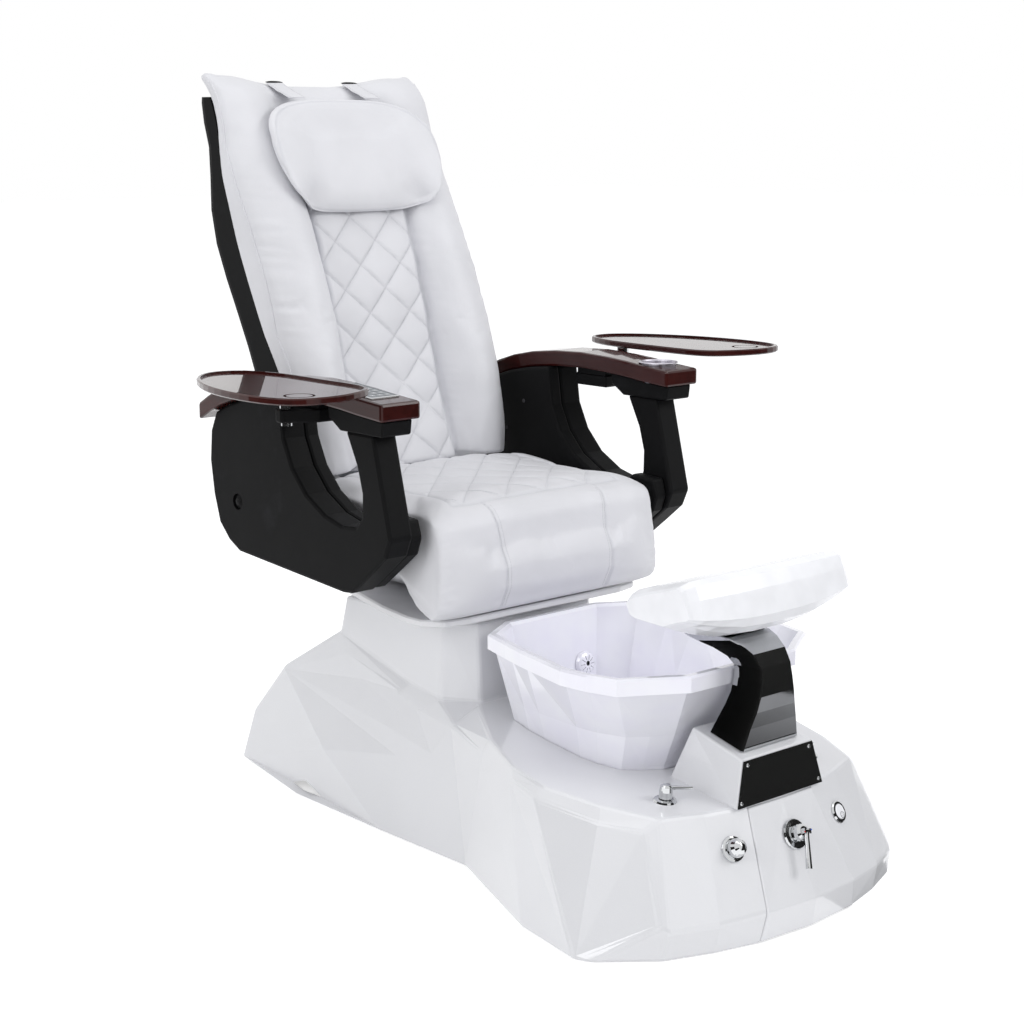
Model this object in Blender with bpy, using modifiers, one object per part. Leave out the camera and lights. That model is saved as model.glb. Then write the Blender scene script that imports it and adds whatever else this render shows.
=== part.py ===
"""Pedicure spa chair: a power massage chair on a moulded pedestal base with a foot basin.

World frame: origin on the floor under the middle of the chair, +Z up, -Y to the front
(where the basin and the controls are), so the sitter's right hand is at -X.
All lengths are metres. Each sub-part is one object, named as its node.
"""
import math

import bmesh
import bpy
from mathutils import Matrix, Vector

# ---------------------------------------------------------------- driving dimensions
GAP = 0.0003                # between seated pieces that do not move
RUN = 0.0005                # radial clearance of pins and shafts in their bores

# base moulding: the main heights and depths
FRONT_Y = -0.776            # most forward point of the skirt
REAR_Y = 0.7835             # rearmost point of the base
SKIRT_Z = 0.057             # height of the skirt line above the floor
PLATFORM_FRONT_Z = 0.2275   # basin platform, front edge
PLATFORM_REAR_Z = 0.285     # basin platform, at the pedestal
PLATFORM_FRONT_Y = -0.640
PLATFORM_REAR_Y = -0.060
PEDESTAL_HALF = 0.200
PEDESTAL_FRONT_Y = -0.045
PEDESTAL_REAR_Y = 0.310
PEDESTAL_TOP_Z = 0.445
WALL = 0.014                # moulding wall
BASE_EDGE = 0.006           # rounding of the moulding's edges

# housing behind the chrome plate
HOUSING_TOP_HALF = 0.094
HOUSING_FOOT_HALF = 0.116
HOUSING_FRONT_TOP = (-0.6810, 0.3060)
HOUSING_FRONT_FOOT = (-0.6900, 0.2220)
HOUSING_REAR_TOP = (-0.5560, 0.3380)
HOUSING_REAR_FOOT = (-0.5120, 0.2300)
PLATE_THICK = 0.0020
PLATE_MARGIN = 0.002

# basin
RIM_Z = 0.4500
RIM_DROP = 0.030
RIM_WIDTH = 0.013
BASIN_WALL = 0.006
BASIN_FLOOR_Z = 0.215
BASIN_UNDER_Z = 0.205

# seat
PAN_Z = 0.4558
PAN_THICK = 0.0142
PAN_FRONT_Y = -0.080
PAN_REAR_Y = 0.312
PAN_HALF = 0.284
BRACKET_IN = 0.1500         # brackets that hold the pivot shaft behind the seat
BRACKET_OUT = 0.1620
SEAT_HALF = 0.291
SEAT_FRONT_Y = -0.104
SEAT_REAR_Y = 0.332
SEAT_TOP_Z = 0.690
SEAT_CROWN = 0.014
SEAT_INSET = 0.006          # how far the middle of the seat lies below its front roll

# pivot shaft carrying the arms and the back
PIVOT_Y = 0.400
PIVOT_Z = 0.654
SHAFT_R = 0.012

# arms, measured on the +X side
ARM_CLEAR = 0.0215          # between the seat cushion and the arm
ARM_IN = SEAT_HALF + ARM_CLEAR
ARM_SPLIT = ARM_IN + 0.0325 # joint between the outer and the inner shell
ARM_OUT = ARM_SPLIT + 0.055 # outer face of the moulded shell
SHAFT_HALF = ARM_OUT - 0.010
ARM_EDGE = 0.006
REST_IN = ARM_IN + 0.0125   # wooden armrest
REST_OUT = ARM_OUT + 0.018
REST_THICK = 0.034
REST_EDGE = 0.005
TRAY_BOTTOM_Z = 0.9225
TRAY_THICK = 0.013
TRAY_RIM = 0.004
TRAY_LIP = 0.009
TRAY_PIVOT = (ARM_OUT + 0.048, 0.160)
TRAY_POST_R = 0.013
BRACKET_LOW_Z = 0.846
BRACKET_TOP_Z = 0.872
CUP_X = (REST_IN + REST_OUT) / 2
CUP_Y = -0.020
CUP_R = 0.0375
CUP_DEPTH = 0.045
KEYPAD_SIZE = (0.066, 0.130, 0.008)
KEYPAD_Y = 0.022

# back
BACK_HALF = 0.278
SHELL_HALF = 0.262
SHELL_WALL = 0.006
BACK_LOW_Z = 0.686
BACK_TOP_Z = 1.4995
BACK_TIP_Z = 1.465          # the upholstery starts to round over here
SHELL_FOOT_Z = 0.600        # black rear shell
SHELL_HEAD_Z = 1.452
CHANNEL_HALF = 0.126
QUILT_THICK = 0.012
QUILT_PUFF = 0.005
QUILT_PITCH_X = 0.05333     # half the width of a diamond
QUILT_PITCH_Z = 0.050       # half its height
QUILT_START = (0.02667, 0.005)
RAIL_X = 0.075
RAIL_R = 0.007

# footrest
FLANGE_Z = 0.508
HINGE_Y = -0.494
HINGE_Z = 0.508
KNUCKLE_R = 0.0065
PIN_R = 0.0030
PAD_HALF = 0.213
PAD_UNDER_Z = 0.5122
PAD_FRONT_Y = -0.640        # the pad narrows behind this line

# ---------------------------------------------------------------- scene and collections
for old in list(bpy.data.objects):
    bpy.data.objects.remove(old, do_unlink=True)

PARTS = bpy.data.collections.new("pedicure_spa_chair")
CUTTERS = bpy.data.collections.new("cutters")
bpy.context.scene.collection.children.link(PARTS)
bpy.context.scene.collection.children.link(CUTTERS)


def material(name, colour, roughness, metallic=0.0):
    """Plain Principled material for one finish."""
    mat = bpy.data.materials.new(name)
    mat.use_nodes = True
    shader = mat.node_tree.nodes["Principled BSDF"]
    shader.inputs["Base Color"].default_value = (*colour, 1.0)
    shader.inputs["Roughness"].default_value = roughness
    shader.inputs["Metallic"].default_value = metallic
    mat.diffuse_color = (*colour, 1.0)
    return mat


PEARL = material("pearl_white_moulding", (0.86, 0.86, 0.87), 0.22)
ACRYLIC = material("basin_acrylic", (0.88, 0.86, 0.91), 0.12)
LEATHER = material("white_leather", (0.83, 0.83, 0.85), 0.55)
BLACK = material("black_plastic", (0.022, 0.022, 0.024), 0.55)
MAHOGANY = material("gloss_mahogany", (0.16, 0.022, 0.016), 0.12)
CHROME = material("chrome", (0.86, 0.87, 0.88), 0.06, 1.0)
STEEL = material("zinc_steel", (0.52, 0.53, 0.55), 0.38, 1.0)
SILVER = material("silver_cup", (0.62, 0.60, 0.66), 0.25, 1.0)
KEYPAD = material("keypad_grey", (0.30, 0.32, 0.34), 0.45)
GLOSS = material("gloss_white", (0.88, 0.88, 0.89), 0.15)
DARK = material("motor_grey", (0.10, 0.10, 0.11), 0.5)


# ---------------------------------------------------------------- building helpers
def link(name, mesh, mat=None, cutter=False):
    """Put a mesh into the model, or among the cutters."""
    obj = bpy.data.objects.new(name, mesh)
    (CUTTERS if cutter else PARTS).objects.link(obj)
    if mat is not None:
        mesh.materials.append(mat)
    if cutter:
        obj.hide_render = True
        obj.display_type = "WIRE"
    return obj


def finish(bm, name, mat=None, cutter=False, smooth=None):
    """Turn a bmesh into a linked object with its faces pointing out."""
    bmesh.ops.recalc_face_normals(bm, faces=bm.faces)
    if bm.calc_volume(signed=True) < 0:
        bmesh.ops.reverse_faces(bm, faces=bm.faces)
    mesh = bpy.data.meshes.new(name)
    bm.to_mesh(mesh)
    bm.free()
    if smooth is not None:
        mesh.shade_smooth()
        mesh.set_sharp_from_angle(angle=math.radians(smooth))
    return link(name, mesh, mat, cutter)


def box(name, low, high, mat=None, cutter=False):
    """Block between two corners."""
    bm = bmesh.new()
    bmesh.ops.create_cube(bm, size=1.0)
    size = [h - l for l, h in zip(low, high)]
    centre = [(h + l) / 2 for l, h in zip(low, high)]
    bmesh.ops.scale(bm, vec=size, verts=bm.verts)
    bmesh.ops.translate(bm, vec=centre, verts=bm.verts)
    return finish(bm, name, mat, cutter)


def rod(name, start, end, radius, mat=None, cutter=False, sides=24, radius_end=None):
    """Round bar between two points."""
    start, end = Vector(start), Vector(end)
    along = end - start
    bm = bmesh.new()
    bmesh.ops.create_cone(bm, cap_ends=True, segments=sides, radius1=radius,
                          radius2=radius if radius_end is None else radius_end, depth=along.length)
    turn = Vector((0, 0, 1)).rotation_difference(along.normalized()).to_matrix().to_4x4()
    bmesh.ops.transform(bm, matrix=Matrix.Translation((start + end) / 2) @ turn, verts=bm.verts)
    return finish(bm, name, mat, cutter, smooth=40)


def stack(name, rings, mat=None, cutter=False, smooth=None):
    """Loft through closed rings of equal length, capped at both ends."""
    bm = bmesh.new()
    layers = [[bm.verts.new(point) for point in ring] for ring in rings]
    count = len(rings[0])
    for lower, upper in zip(layers[:-1], layers[1:]):
        for i in range(count):
            j = (i + 1) % count
            bm.faces.new((lower[i], lower[j], upper[j], upper[i]))
    bm.faces.new(list(reversed(layers[0])))
    bm.faces.new(layers[-1])
    return finish(bm, name, mat, cutter, smooth)


def slab(name, outline, low, high, mat=None, cutter=False, axis="X", holes=()):
    """Flat outline, filled and extruded as a 2D curve, then turned into a mesh.

    axis X takes (y, z) points, axis Z takes (x, y) points.
    """
    curve = bpy.data.curves.new(name, "CURVE")
    curve.dimensions = "2D"
    curve.fill_mode = "BOTH"
    curve.extrude = (high - low) / 2
    for points in (outline, *holes):
        spline = curve.splines.new("POLY")
        spline.points.add(len(points) - 1)
        for slot, (u, v) in zip(spline.points, points):
            slot.co = (u, v, 0.0, 1.0)
        spline.use_cyclic_u = True
    flat = bpy.data.objects.new(name + "_outline", curve)
    bpy.context.scene.collection.objects.link(flat)
    bpy.context.view_layer.update()
    solid = bpy.data.meshes.new_from_object(flat.evaluated_get(bpy.context.evaluated_depsgraph_get()))
    bpy.data.objects.remove(flat, do_unlink=True)
    bpy.data.curves.remove(curve)
    bm = bmesh.new()
    bm.from_mesh(solid)
    bpy.data.meshes.remove(solid)
    bmesh.ops.remove_doubles(bm, verts=bm.verts, dist=0.00002)
    middle = (high + low) / 2
    if axis == "X":
        frame = Matrix(((0, 0, 1, middle), (1, 0, 0, 0), (0, 1, 0, 0), (0, 0, 0, 1)))
    else:
        frame = Matrix.Translation((0, 0, middle))
    bmesh.ops.transform(bm, matrix=frame, verts=bm.verts)
    bmesh.ops.dissolve_limit(bm, angle_limit=math.radians(1.0), verts=bm.verts, edges=bm.edges)
    return finish(bm, name, mat, cutter)


def turned(name, profile, origin, axis, mat=None, cutter=False, sides=20):
    """Turned shape: (radius, height) pairs from the top down, swept round by a Screw modifier."""
    mesh = bpy.data.meshes.new(name)
    closed = profile[0] == profile[-1]
    verts = [(r, 0.0, h) for r, h in (profile[:-1] if closed else profile)]
    edges = [(i, i + 1) for i in range(len(verts) - 1)]
    if closed:
        edges.append((len(verts) - 1, 0))
    mesh.from_pydata(verts, edges, [])
    obj = link(name, mesh, mat, cutter)
    sweep = obj.modifiers.new("turn", "SCREW")
    sweep.axis = "Z"
    sweep.steps = sides
    sweep.render_steps = sides
    sweep.use_merge_vertices = True
    sweep.merge_threshold = 0.00001
    sweep.use_normal_calculate = False
    turn = Vector((0, 0, 1)).rotation_difference(Vector(axis).normalized())
    obj.rotation_mode = "QUATERNION"
    obj.rotation_quaternion = turn
    obj.location = origin
    return obj


def bevel(obj, width, segments=2, angle=30.0):
    """Rounded edges wherever the surface turns by more than the given angle."""
    mod = obj.modifiers.new("rounded_edges", "BEVEL")
    mod.width = width
    mod.segments = segments
    mod.limit_method = "ANGLE"
    mod.angle_limit = math.radians(angle)
    return obj


def cut(obj, cutter):
    """Take the cutter's volume out of the object."""
    mod = obj.modifiers.new("cut_" + cutter.name, "BOOLEAN")
    mod.operation = "DIFFERENCE"
    mod.object = cutter
    return obj


def fuse(obj, other):
    """Join another shape to the object, leaving it among the cutters."""
    if other.name in PARTS.objects:
        PARTS.objects.unlink(other)
        CUTTERS.objects.link(other)
    other.hide_render = True
    other.display_type = "WIRE"
    mod = obj.modifiers.new("join_" + other.name, "BOOLEAN")
    mod.operation = "UNION"
    mod.object = other
    return obj


def pivot(name, point, parent=None):
    """Empty on a joint's axis, which carries the pieces that move together."""
    empty = bpy.data.objects.new(name, None)
    empty.empty_display_size = 0.05
    empty.location = point
    PARTS.objects.link(empty)
    if parent is not None:
        empty.parent = parent
        empty.location = Vector(point) - world_point(parent)
    return empty


def world_point(empty):
    """World position of an empty that is only ever translated."""
    point = Vector(empty.location)
    if empty.parent is not None:
        point += world_point(empty.parent)
    return point


def carry(empty, *pieces):
    """Parent pieces modelled in world coordinates to an empty, without moving them."""
    offset = world_point(empty)
    for piece in pieces:
        piece.parent = empty
        piece.location = Vector(piece.location) - offset


def lerp_table(table, t):
    """Straight-line value at t in a table of (t, value) rows."""
    if t <= table[0][0]:
        return table[0][1]
    for (t0, v0), (t1, v1) in zip(table[:-1], table[1:]):
        if t <= t1:
            return v0 + (v1 - v0) * (t - t0) / (t1 - t0)
    return table[-1][1]


def mirrored(half):
    """Full ring from a half outline that runs from the middle line out on +X and back to it."""
    return list(half) + [(-x, *rest) for x, *rest in reversed(half[1:-1])]


def side_name(side):
    """Sitter's side for +1 (+X) or -1 (-X)."""
    return "left" if side > 0 else "right"


def platform_z(y):
    """Height of the sloping basin platform."""
    share = (y - PLATFORM_FRONT_Y) / (PLATFORM_REAR_Y - PLATFORM_FRONT_Y)
    return PLATFORM_FRONT_Z + share * (PLATFORM_REAR_Z - PLATFORM_FRONT_Z)


# ---------------------------------------------------------------- base moulding
# Corners of the faceted moulding on +X. Floor, skirt, facet ridges, platform edge, pedestal.
def on_platform(x, y, drop=0.0):
    return (x, y, platform_z(y) - drop)


CURB_DROP = 0.020
BASE_POINTS = {
    "floor_rear": (0.0, REAR_Y, 0.0),
    "floor_rear_side": (0.120, REAR_Y - 0.012, 0.0),
    "floor_rear_corner": (0.190, 0.715, 0.0),
    "floor_tail": (0.255, 0.430, 0.0),
    "floor_fold": (0.262, 0.130, 0.0),
    "floor_waist": (0.264, -0.135, 0.0),
    "floor_flare": (0.384, -0.426, 0.0),
    "floor_wide": (0.4150, -0.5920, 0.0),
    "floor_wide_front": (0.4020, -0.6200, 0.0),
    "floor_corner": (0.307, -0.700, 0.0),
    "floor_bow": (0.216, -0.735, 0.0),
    "floor_panel": (0.126, FRONT_Y + 0.018, 0.0),
    "floor_middle": (0.0, FRONT_Y + 0.008, 0.0),
    "skirt_edge": (0.3135, -0.6960, 0.0620),
    "skirt_corner": (0.305, -0.708, SKIRT_Z - 0.004),
    "skirt_bow": (0.215, -0.746, SKIRT_Z - 0.002),
    "skirt_panel": (0.118, FRONT_Y + 0.009, SKIRT_Z),
    "skirt_middle": (0.0, FRONT_Y, SKIRT_Z),
    "top_middle": on_platform(0.0, -0.690),
    "top_panel": on_platform(0.086, -0.687),
    "top_bow": on_platform(0.175, -0.668),
    "top_corner": on_platform(0.259, -0.640),
    "curb_corner": (0.2860, -0.6310, 0.2080),
    "curb_a": on_platform(0.302, -0.540),
    "curb_b": on_platform(0.328, -0.425),
    "curb_c": on_platform(0.313, -0.320),
    "curb_d": on_platform(0.262, -0.205),
    "curb_e": on_platform(0.165, -0.062),
    "ledge_a": (0.3210, -0.5560, 0.2120),
    "ledge_b": (0.3460, -0.4150, 0.2290),
    "ledge_c": (0.3200, -0.3300, 0.2330),
    "ledge_d": (0.2620, -0.1800, 0.2360),
    "ledge_e": (0.2250, -0.0550, 0.2560),
    "valley_front": on_platform(0.150, PEDESTAL_FRONT_Y - 0.008),
    "valley_corner": (PEDESTAL_HALF + 0.003, 0.008, 0.2890),
    "valley_side": (PEDESTAL_HALF + 0.002, 0.100, 0.3020),
    "valley_rear": (PEDESTAL_HALF, PEDESTAL_REAR_Y + 0.022, 0.3680),
    "valley_middle": on_platform(0.0, PEDESTAL_FRONT_Y - 0.010),
    "valley_back": (0.0, PEDESTAL_REAR_Y + 0.030, 0.3700),
    "shoulder_rise": (0.2070, 0.3000, 0.3260),
    "shoulder_mid": (0.2120, 0.1250, 0.2830),
    "shoulder_low": (0.2160, 0.0300, 0.2660),
    "pedestal_front": (0.150, PEDESTAL_FRONT_Y, PEDESTAL_TOP_Z),
    "pedestal_corner": (PEDESTAL_HALF, PEDESTAL_FRONT_Y + 0.050, PEDESTAL_TOP_Z),
    "pedestal_rear": (PEDESTAL_HALF, PEDESTAL_REAR_Y, PEDESTAL_TOP_Z),
    "pedestal_middle": (0.0, PEDESTAL_FRONT_Y, PEDESTAL_TOP_Z),
    "pedestal_back": (0.0, PEDESTAL_REAR_Y, PEDESTAL_TOP_Z),
    "shoulder": (0.215, 0.511, 0.2600),
    "shoulder_back": (0.0, 0.545, 0.2640),
    "tail_mid": (0.204, 0.645, 0.1300),
    "tail_back": (0.0, 0.700, 0.1350),
    "ridge_mid": (0.2380, 0.1050, 0.1600),
    "fold_mid": (0.2510, 0.3290, 0.1220),
    "gem_tip": (0.2105, 0.2476, 0.2823),
    "gem_side": (0.2176, 0.1735, 0.2552),
    "gem_top": (0.2209, 0.1120, 0.2433),
    "gem_corner": (0.2170, 0.0660, 0.2600),
    "gem_low": (0.2289, 0.1505, 0.2102),
    "gem_point": (0.2353, -0.0012, 0.1879),
}
BASE_FACES = [
    ("floor_middle", "floor_panel", "skirt_panel", "skirt_middle"),
    ("floor_panel", "floor_bow", "skirt_bow", "skirt_panel"),
    ("floor_bow", "floor_corner", "skirt_corner", "skirt_bow"),
    ("floor_corner", "floor_wide_front", "skirt_edge", "skirt_corner"),
    ("skirt_middle", "skirt_panel", "top_panel", "top_middle"),
    ("skirt_panel", "skirt_bow", "top_bow", "top_panel"),
    ("skirt_bow", "skirt_corner", "top_corner", "top_bow"),
    ("skirt_corner", "skirt_edge", "curb_corner", "top_corner"),
    ("floor_wide", "ledge_b", "ledge_a", "curb_corner", "skirt_edge"),
    ("floor_wide_front", "floor_wide", "skirt_edge"),
    ("floor_wide", "floor_flare", "ledge_c", "ledge_b"),
    ("floor_flare", "floor_waist", "ledge_d", "ledge_c"),
    ("top_corner", "curb_corner", "ledge_a", "curb_a"),
    ("curb_a", "ledge_a", "ledge_b", "curb_b"),
    ("curb_b", "ledge_b", "ledge_c", "curb_c"),
    ("curb_c", "ledge_c", "ledge_d", "curb_d"),
    ("curb_d", "ledge_d", "ledge_e", "curb_e"),
    ("curb_e", "ledge_e", "valley_corner", "valley_front"),
    ("valley_corner", "ledge_e", "shoulder_low", "shoulder_mid", "valley_side"),
    ("valley_side", "shoulder_mid", "shoulder_rise", "valley_rear"),
    ("floor_waist", "gem_point", "ledge_e", "ledge_d"),
    ("ledge_e", "gem_point", "gem_corner", "shoulder_low"),
    ("shoulder_low", "gem_corner", "gem_top", "shoulder_mid"),
    ("shoulder_mid", "gem_top", "gem_side", "gem_tip", "shoulder_rise"),
    ("gem_tip", "gem_side", "gem_top", "gem_corner", "gem_point", "gem_low"),
    ("shoulder_rise", "gem_tip", "gem_low", "ridge_mid", "shoulder"),
    ("valley_rear", "shoulder_rise", "shoulder"),
    ("gem_low", "gem_point", "ridge_mid"),
    ("gem_point", "floor_waist", "ridge_mid"),
    ("shoulder", "ridge_mid", "floor_waist", "floor_fold", "fold_mid"),
    ("shoulder", "fold_mid", "floor_fold", "floor_tail", "floor_rear_corner", "tail_mid"),
    ("tail_mid", "floor_rear_corner", "floor_rear_side", "tail_back"),
    ("tail_back", "floor_rear_side", "floor_rear"),
    ("shoulder_back", "shoulder", "tail_mid", "tail_back"),
    ("valley_back", "valley_rear", "shoulder", "shoulder_back"),
    ("valley_rear", "valley_back", "pedestal_back", "pedestal_rear"),
    ("valley_corner", "valley_side", "valley_rear", "pedestal_rear", "pedestal_corner"),
    ("valley_front", "valley_corner", "pedestal_corner", "pedestal_front"),
    ("valley_middle", "valley_front", "pedestal_front", "pedestal_middle"),
    ("pedestal_middle", "pedestal_front", "pedestal_corner", "pedestal_rear", "pedestal_back"),
    ("top_middle", "top_panel", "top_bow", "top_corner", "curb_a", "curb_b", "curb_c", "curb_d",
     "curb_e", "valley_front", "valley_middle"),
    ("floor_rear", "floor_rear_side", "floor_rear_corner", "floor_tail", "floor_fold",
     "floor_waist", "floor_flare", "floor_wide", "floor_wide_front", "floor_corner",
     "floor_bow", "floor_panel", "floor_middle"),
]

# basin outlines on +X, from the back of the rim round to its front
RIM_HALF = [(0.0, -0.085), (0.120, -0.085), (0.205, -0.135), (0.228, -0.210), (0.245, -0.270),
            (0.277, -0.410), (0.272, -0.470), (0.255, -0.530), (0.194, -0.566), (0.140, -0.600),
            (0.0, -0.604)]
MID_HALF = [(0.0, -0.115), (0.100, -0.115), (0.165, -0.150), (0.180, -0.210), (0.188, -0.260),
            (0.197, -0.370), (0.193, -0.420), (0.175, -0.475), (0.140, -0.502), (0.100, -0.524),
            (0.0, -0.530)]
LOW_HALF = [(0.0, -0.125), (0.090, -0.125), (0.150, -0.160), (0.162, -0.210), (0.168, -0.260),
            (0.176, -0.360), (0.172, -0.400), (0.158, -0.448), (0.125, -0.470), (0.090, -0.490),
            (0.0, -0.496)]
MID_Z = 0.318
LOW_Z = 0.250


def inset(half, amount):
    """Half outline moved in (or out, if negative) square to its edges."""
    ring = mirrored(half)
    count = len(ring)
    moved = []
    for i, (x, y) in enumerate(ring):
        before = Vector(ring[i - 1])
        here = Vector((x, y))
        after = Vector(ring[(i + 1) % count])
        d0 = (here - before).normalized()
        d1 = (after - here).normalized()
        n0 = Vector((d0.y, -d0.x))
        n1 = Vector((d1.y, -d1.x))
        bisector = (n0 + n1).normalized()
        step = amount / max(0.4, bisector.dot(n0))
        moved.append(here + bisector * step)
    return [(p.x, p.y) for p in moved[:len(half)]]


def level(half, z):
    """Full ring of a half outline at one height."""
    return [(x, y, z) for x, y in mirrored(half)]


def basin_rings(outward=0.0):
    """Outer rings of the basin's body below its rim."""
    return [
        level(inset(LOW_HALF, 0.010 - outward), BASIN_UNDER_Z - min(outward, GAP)),
        level(inset(LOW_HALF, -outward), LOW_Z),
        level(inset(MID_HALF, -outward), MID_Z),
        level(inset(RIM_HALF, RIM_WIDTH - outward), RIM_Z - RIM_DROP),
    ]


def make_base_shell():
    """Faceted moulding: half a cage of corners, mirrored, rounded, hollowed from below."""
    mesh = bpy.data.meshes.new("base_shell")
    names = list(BASE_POINTS)
    faces = [[names.index(corner) for corner in face] for face in BASE_FACES]
    mesh.from_pydata([BASE_POINTS[n] for n in names], [], faces)
    bm = bmesh.new()
    bm.from_mesh(mesh)
    bmesh.ops.recalc_face_normals(bm, faces=bm.faces)
    floor = [f for f in bm.faces if all(abs(v.co.z) < 1e-6 for v in f.verts)]
    if floor[0].normal.z > 0:
        bmesh.ops.reverse_faces(bm, faces=bm.faces)
    bm.to_mesh(mesh)
    bm.free()
    shell = link("base_shell", mesh, PEARL)
    mirror = shell.modifiers.new("other_half", "MIRROR")
    mirror.use_axis[0] = True
    mirror.merge_threshold = 0.0001
    bevel(shell, BASE_EDGE, 2, 13.0)

    housing = stack("plate_housing", [
        [(-HOUSING_FOOT_HALF, *HOUSING_FRONT_FOOT), (HOUSING_FOOT_HALF, *HOUSING_FRONT_FOOT),
         (HOUSING_FOOT_HALF - 0.014, *HOUSING_REAR_FOOT), (-HOUSING_FOOT_HALF + 0.014, *HOUSING_REAR_FOOT)],
        [(-HOUSING_TOP_HALF, *HOUSING_FRONT_TOP), (HOUSING_TOP_HALF, *HOUSING_FRONT_TOP),
         (HOUSING_TOP_HALF - 0.006, *HOUSING_REAR_TOP), (-HOUSING_TOP_HALF + 0.006, *HOUSING_REAR_TOP)],
    ], PEARL)
    bevel(housing, 0.004, 2, 30.0)
    foot = box("plate_housing_root", (-0.100, -0.675, 0.190), (0.100, -0.520, 0.240), cutter=True)
    fuse(shell, foot)
    fuse(shell, housing)

    front_low = [(0.0, -0.742), (0.125, -0.734), (0.205, -0.712), (0.290, -0.680), (0.374, -0.602),
                 (0.380, -0.545), (0.235, -0.110), (0.0, -0.110)]
    front_high = [(0.0, -0.662), (0.085, -0.658), (0.160, -0.640), (0.235, -0.615), (0.265, -0.590),
                  (0.285, -0.545), (0.214, -0.110), (0.0, -0.110)]
    cut(shell, stack("cavity_front", [level(front_low, -0.010), level(front_high, 0.200)], cutter=True))
    rear_low = [(0.0, 0.765), (0.110, 0.755), (0.172, 0.700), (0.236, 0.425), (0.243, 0.130),
                (0.243, -0.190), (0.0, -0.190)]
    rear_high = [(0.0, 0.520), (0.110, 0.515), (0.170, 0.505), (0.185, 0.420), (0.190, 0.130),
                 (0.186, -0.040), (0.0, -0.040)]
    cut(shell, stack("cavity_rear", [level(rear_low, -0.010), level(rear_high, 0.225)], cutter=True))
    pedestal_in = [(0.0, PEDESTAL_FRONT_Y + WALL), (0.142, PEDESTAL_FRONT_Y + WALL), (0.183, 0.012),
                   (0.183, 0.288), (0.0, 0.288)]
    cut(shell, stack("cavity_pedestal", [level(pedestal_in, 0.205), level(pedestal_in, 0.385)], cutter=True))
    cut(shell, stack("basin_seat", basin_rings(0.0014), cutter=True))
    cut(shell, rod("waste_hole", (0.0, -0.300, 0.150), (0.0, -0.300, 0.230), 0.0215, cutter=True))
    cut(shell, box("slide_pocket", (-0.150, 0.0, 0.400), (0.150, 0.285, 0.460), cutter=True))
    return shell


def plane_frame(a, b, c, x, z):
    """Point at (x, z) on the plane through three corners, and the plane's outward (front) normal."""
    a, b, c = (Vector(BASE_POINTS[n]) for n in (a, b, c))
    normal = (b - a).cross(c - a).normalized()
    if normal.y > 0:
        normal.negate()
    y = a.y - ((x - a.x) * normal.x + (z - a.z) * normal.z) / normal.y
    return Vector((x, y, z)), normal


PANEL_PROUD = 0.0025
MIXER_REST_DEG = -16.0     # the lever hangs a little to the sitter's right
PANEL_THICK = 0.010


def panel_section(grow, proud, depth):
    """Rings of the access panel: three heights, each from its left edge round the front."""
    low, high = 0.004 - grow * 4, -0.004 + grow
    lean_low = (BASE_POINTS["skirt_middle"][1] - BASE_POINTS["floor_middle"][1]) / SKIRT_Z
    lean_high = ((BASE_POINTS["top_middle"][1] - BASE_POINTS["skirt_middle"][1])
                 / (BASE_POINTS["top_middle"][2] - SKIRT_Z))
    rows = [("floor_middle", "floor_panel", low, low * lean_low),
            ("skirt_middle", "skirt_panel", 0.0, 0.0),
            ("top_middle", "top_panel", high, high * lean_high)]
    rings = []
    for middle, edge, lift, shift in rows:
        mx, my, mz = BASE_POINTS[middle]
        ex, ey, ez = BASE_POINTS[edge]
        my += shift
        ey += shift
        ex += grow
        rings.append([
            (-ex, ey + depth, ez + lift), (-ex, ey - proud, ez + lift), (0.0, my - proud, mz + lift),
            (ex, ey - proud, ez + lift), (ex, ey + depth, ez + lift)])
    return rings


def make_access_panel(shell):
    """Slightly proud service panel let into the middle of the front."""
    cut(shell, stack("panel_recess", panel_section(0.0012, 0.03, PANEL_THICK + 0.0005), cutter=True))
    cut(shell, box("service_window", (-0.070, -0.80, 0.060), (0.070, -0.64, 0.180), cutter=True))
    panel = stack("front_access_panel", panel_section(0.0, PANEL_PROUD, PANEL_THICK), PEARL)
    bevel(panel, 0.002, 2, 25.0)
    return panel


# ---------------------------------------------------------------- basin and what hangs on it
def make_basin():
    """Foot basin: one closed loft up the outside, over the rolled rim and down the inside."""
    rim_in = RIM_WIDTH + BASIN_WALL
    rings = basin_rings() + [
        level(RIM_HALF, RIM_Z - RIM_DROP),
        level(RIM_HALF, RIM_Z - 0.004),
        level(inset(RIM_HALF, 0.004), RIM_Z),
        level(inset(RIM_HALF, rim_in - 0.004), RIM_Z),
        level(inset(RIM_HALF, rim_in), RIM_Z - 0.006),
        level(inset(MID_HALF, BASIN_WALL), MID_Z + 0.004),
        level(inset(LOW_HALF, BASIN_WALL), LOW_Z + 0.004),
        level(inset(LOW_HALF, BASIN_WALL + 0.012), BASIN_FLOOR_Z),
    ]
    return stack("basin", rings, ACRYLIC)


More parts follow.
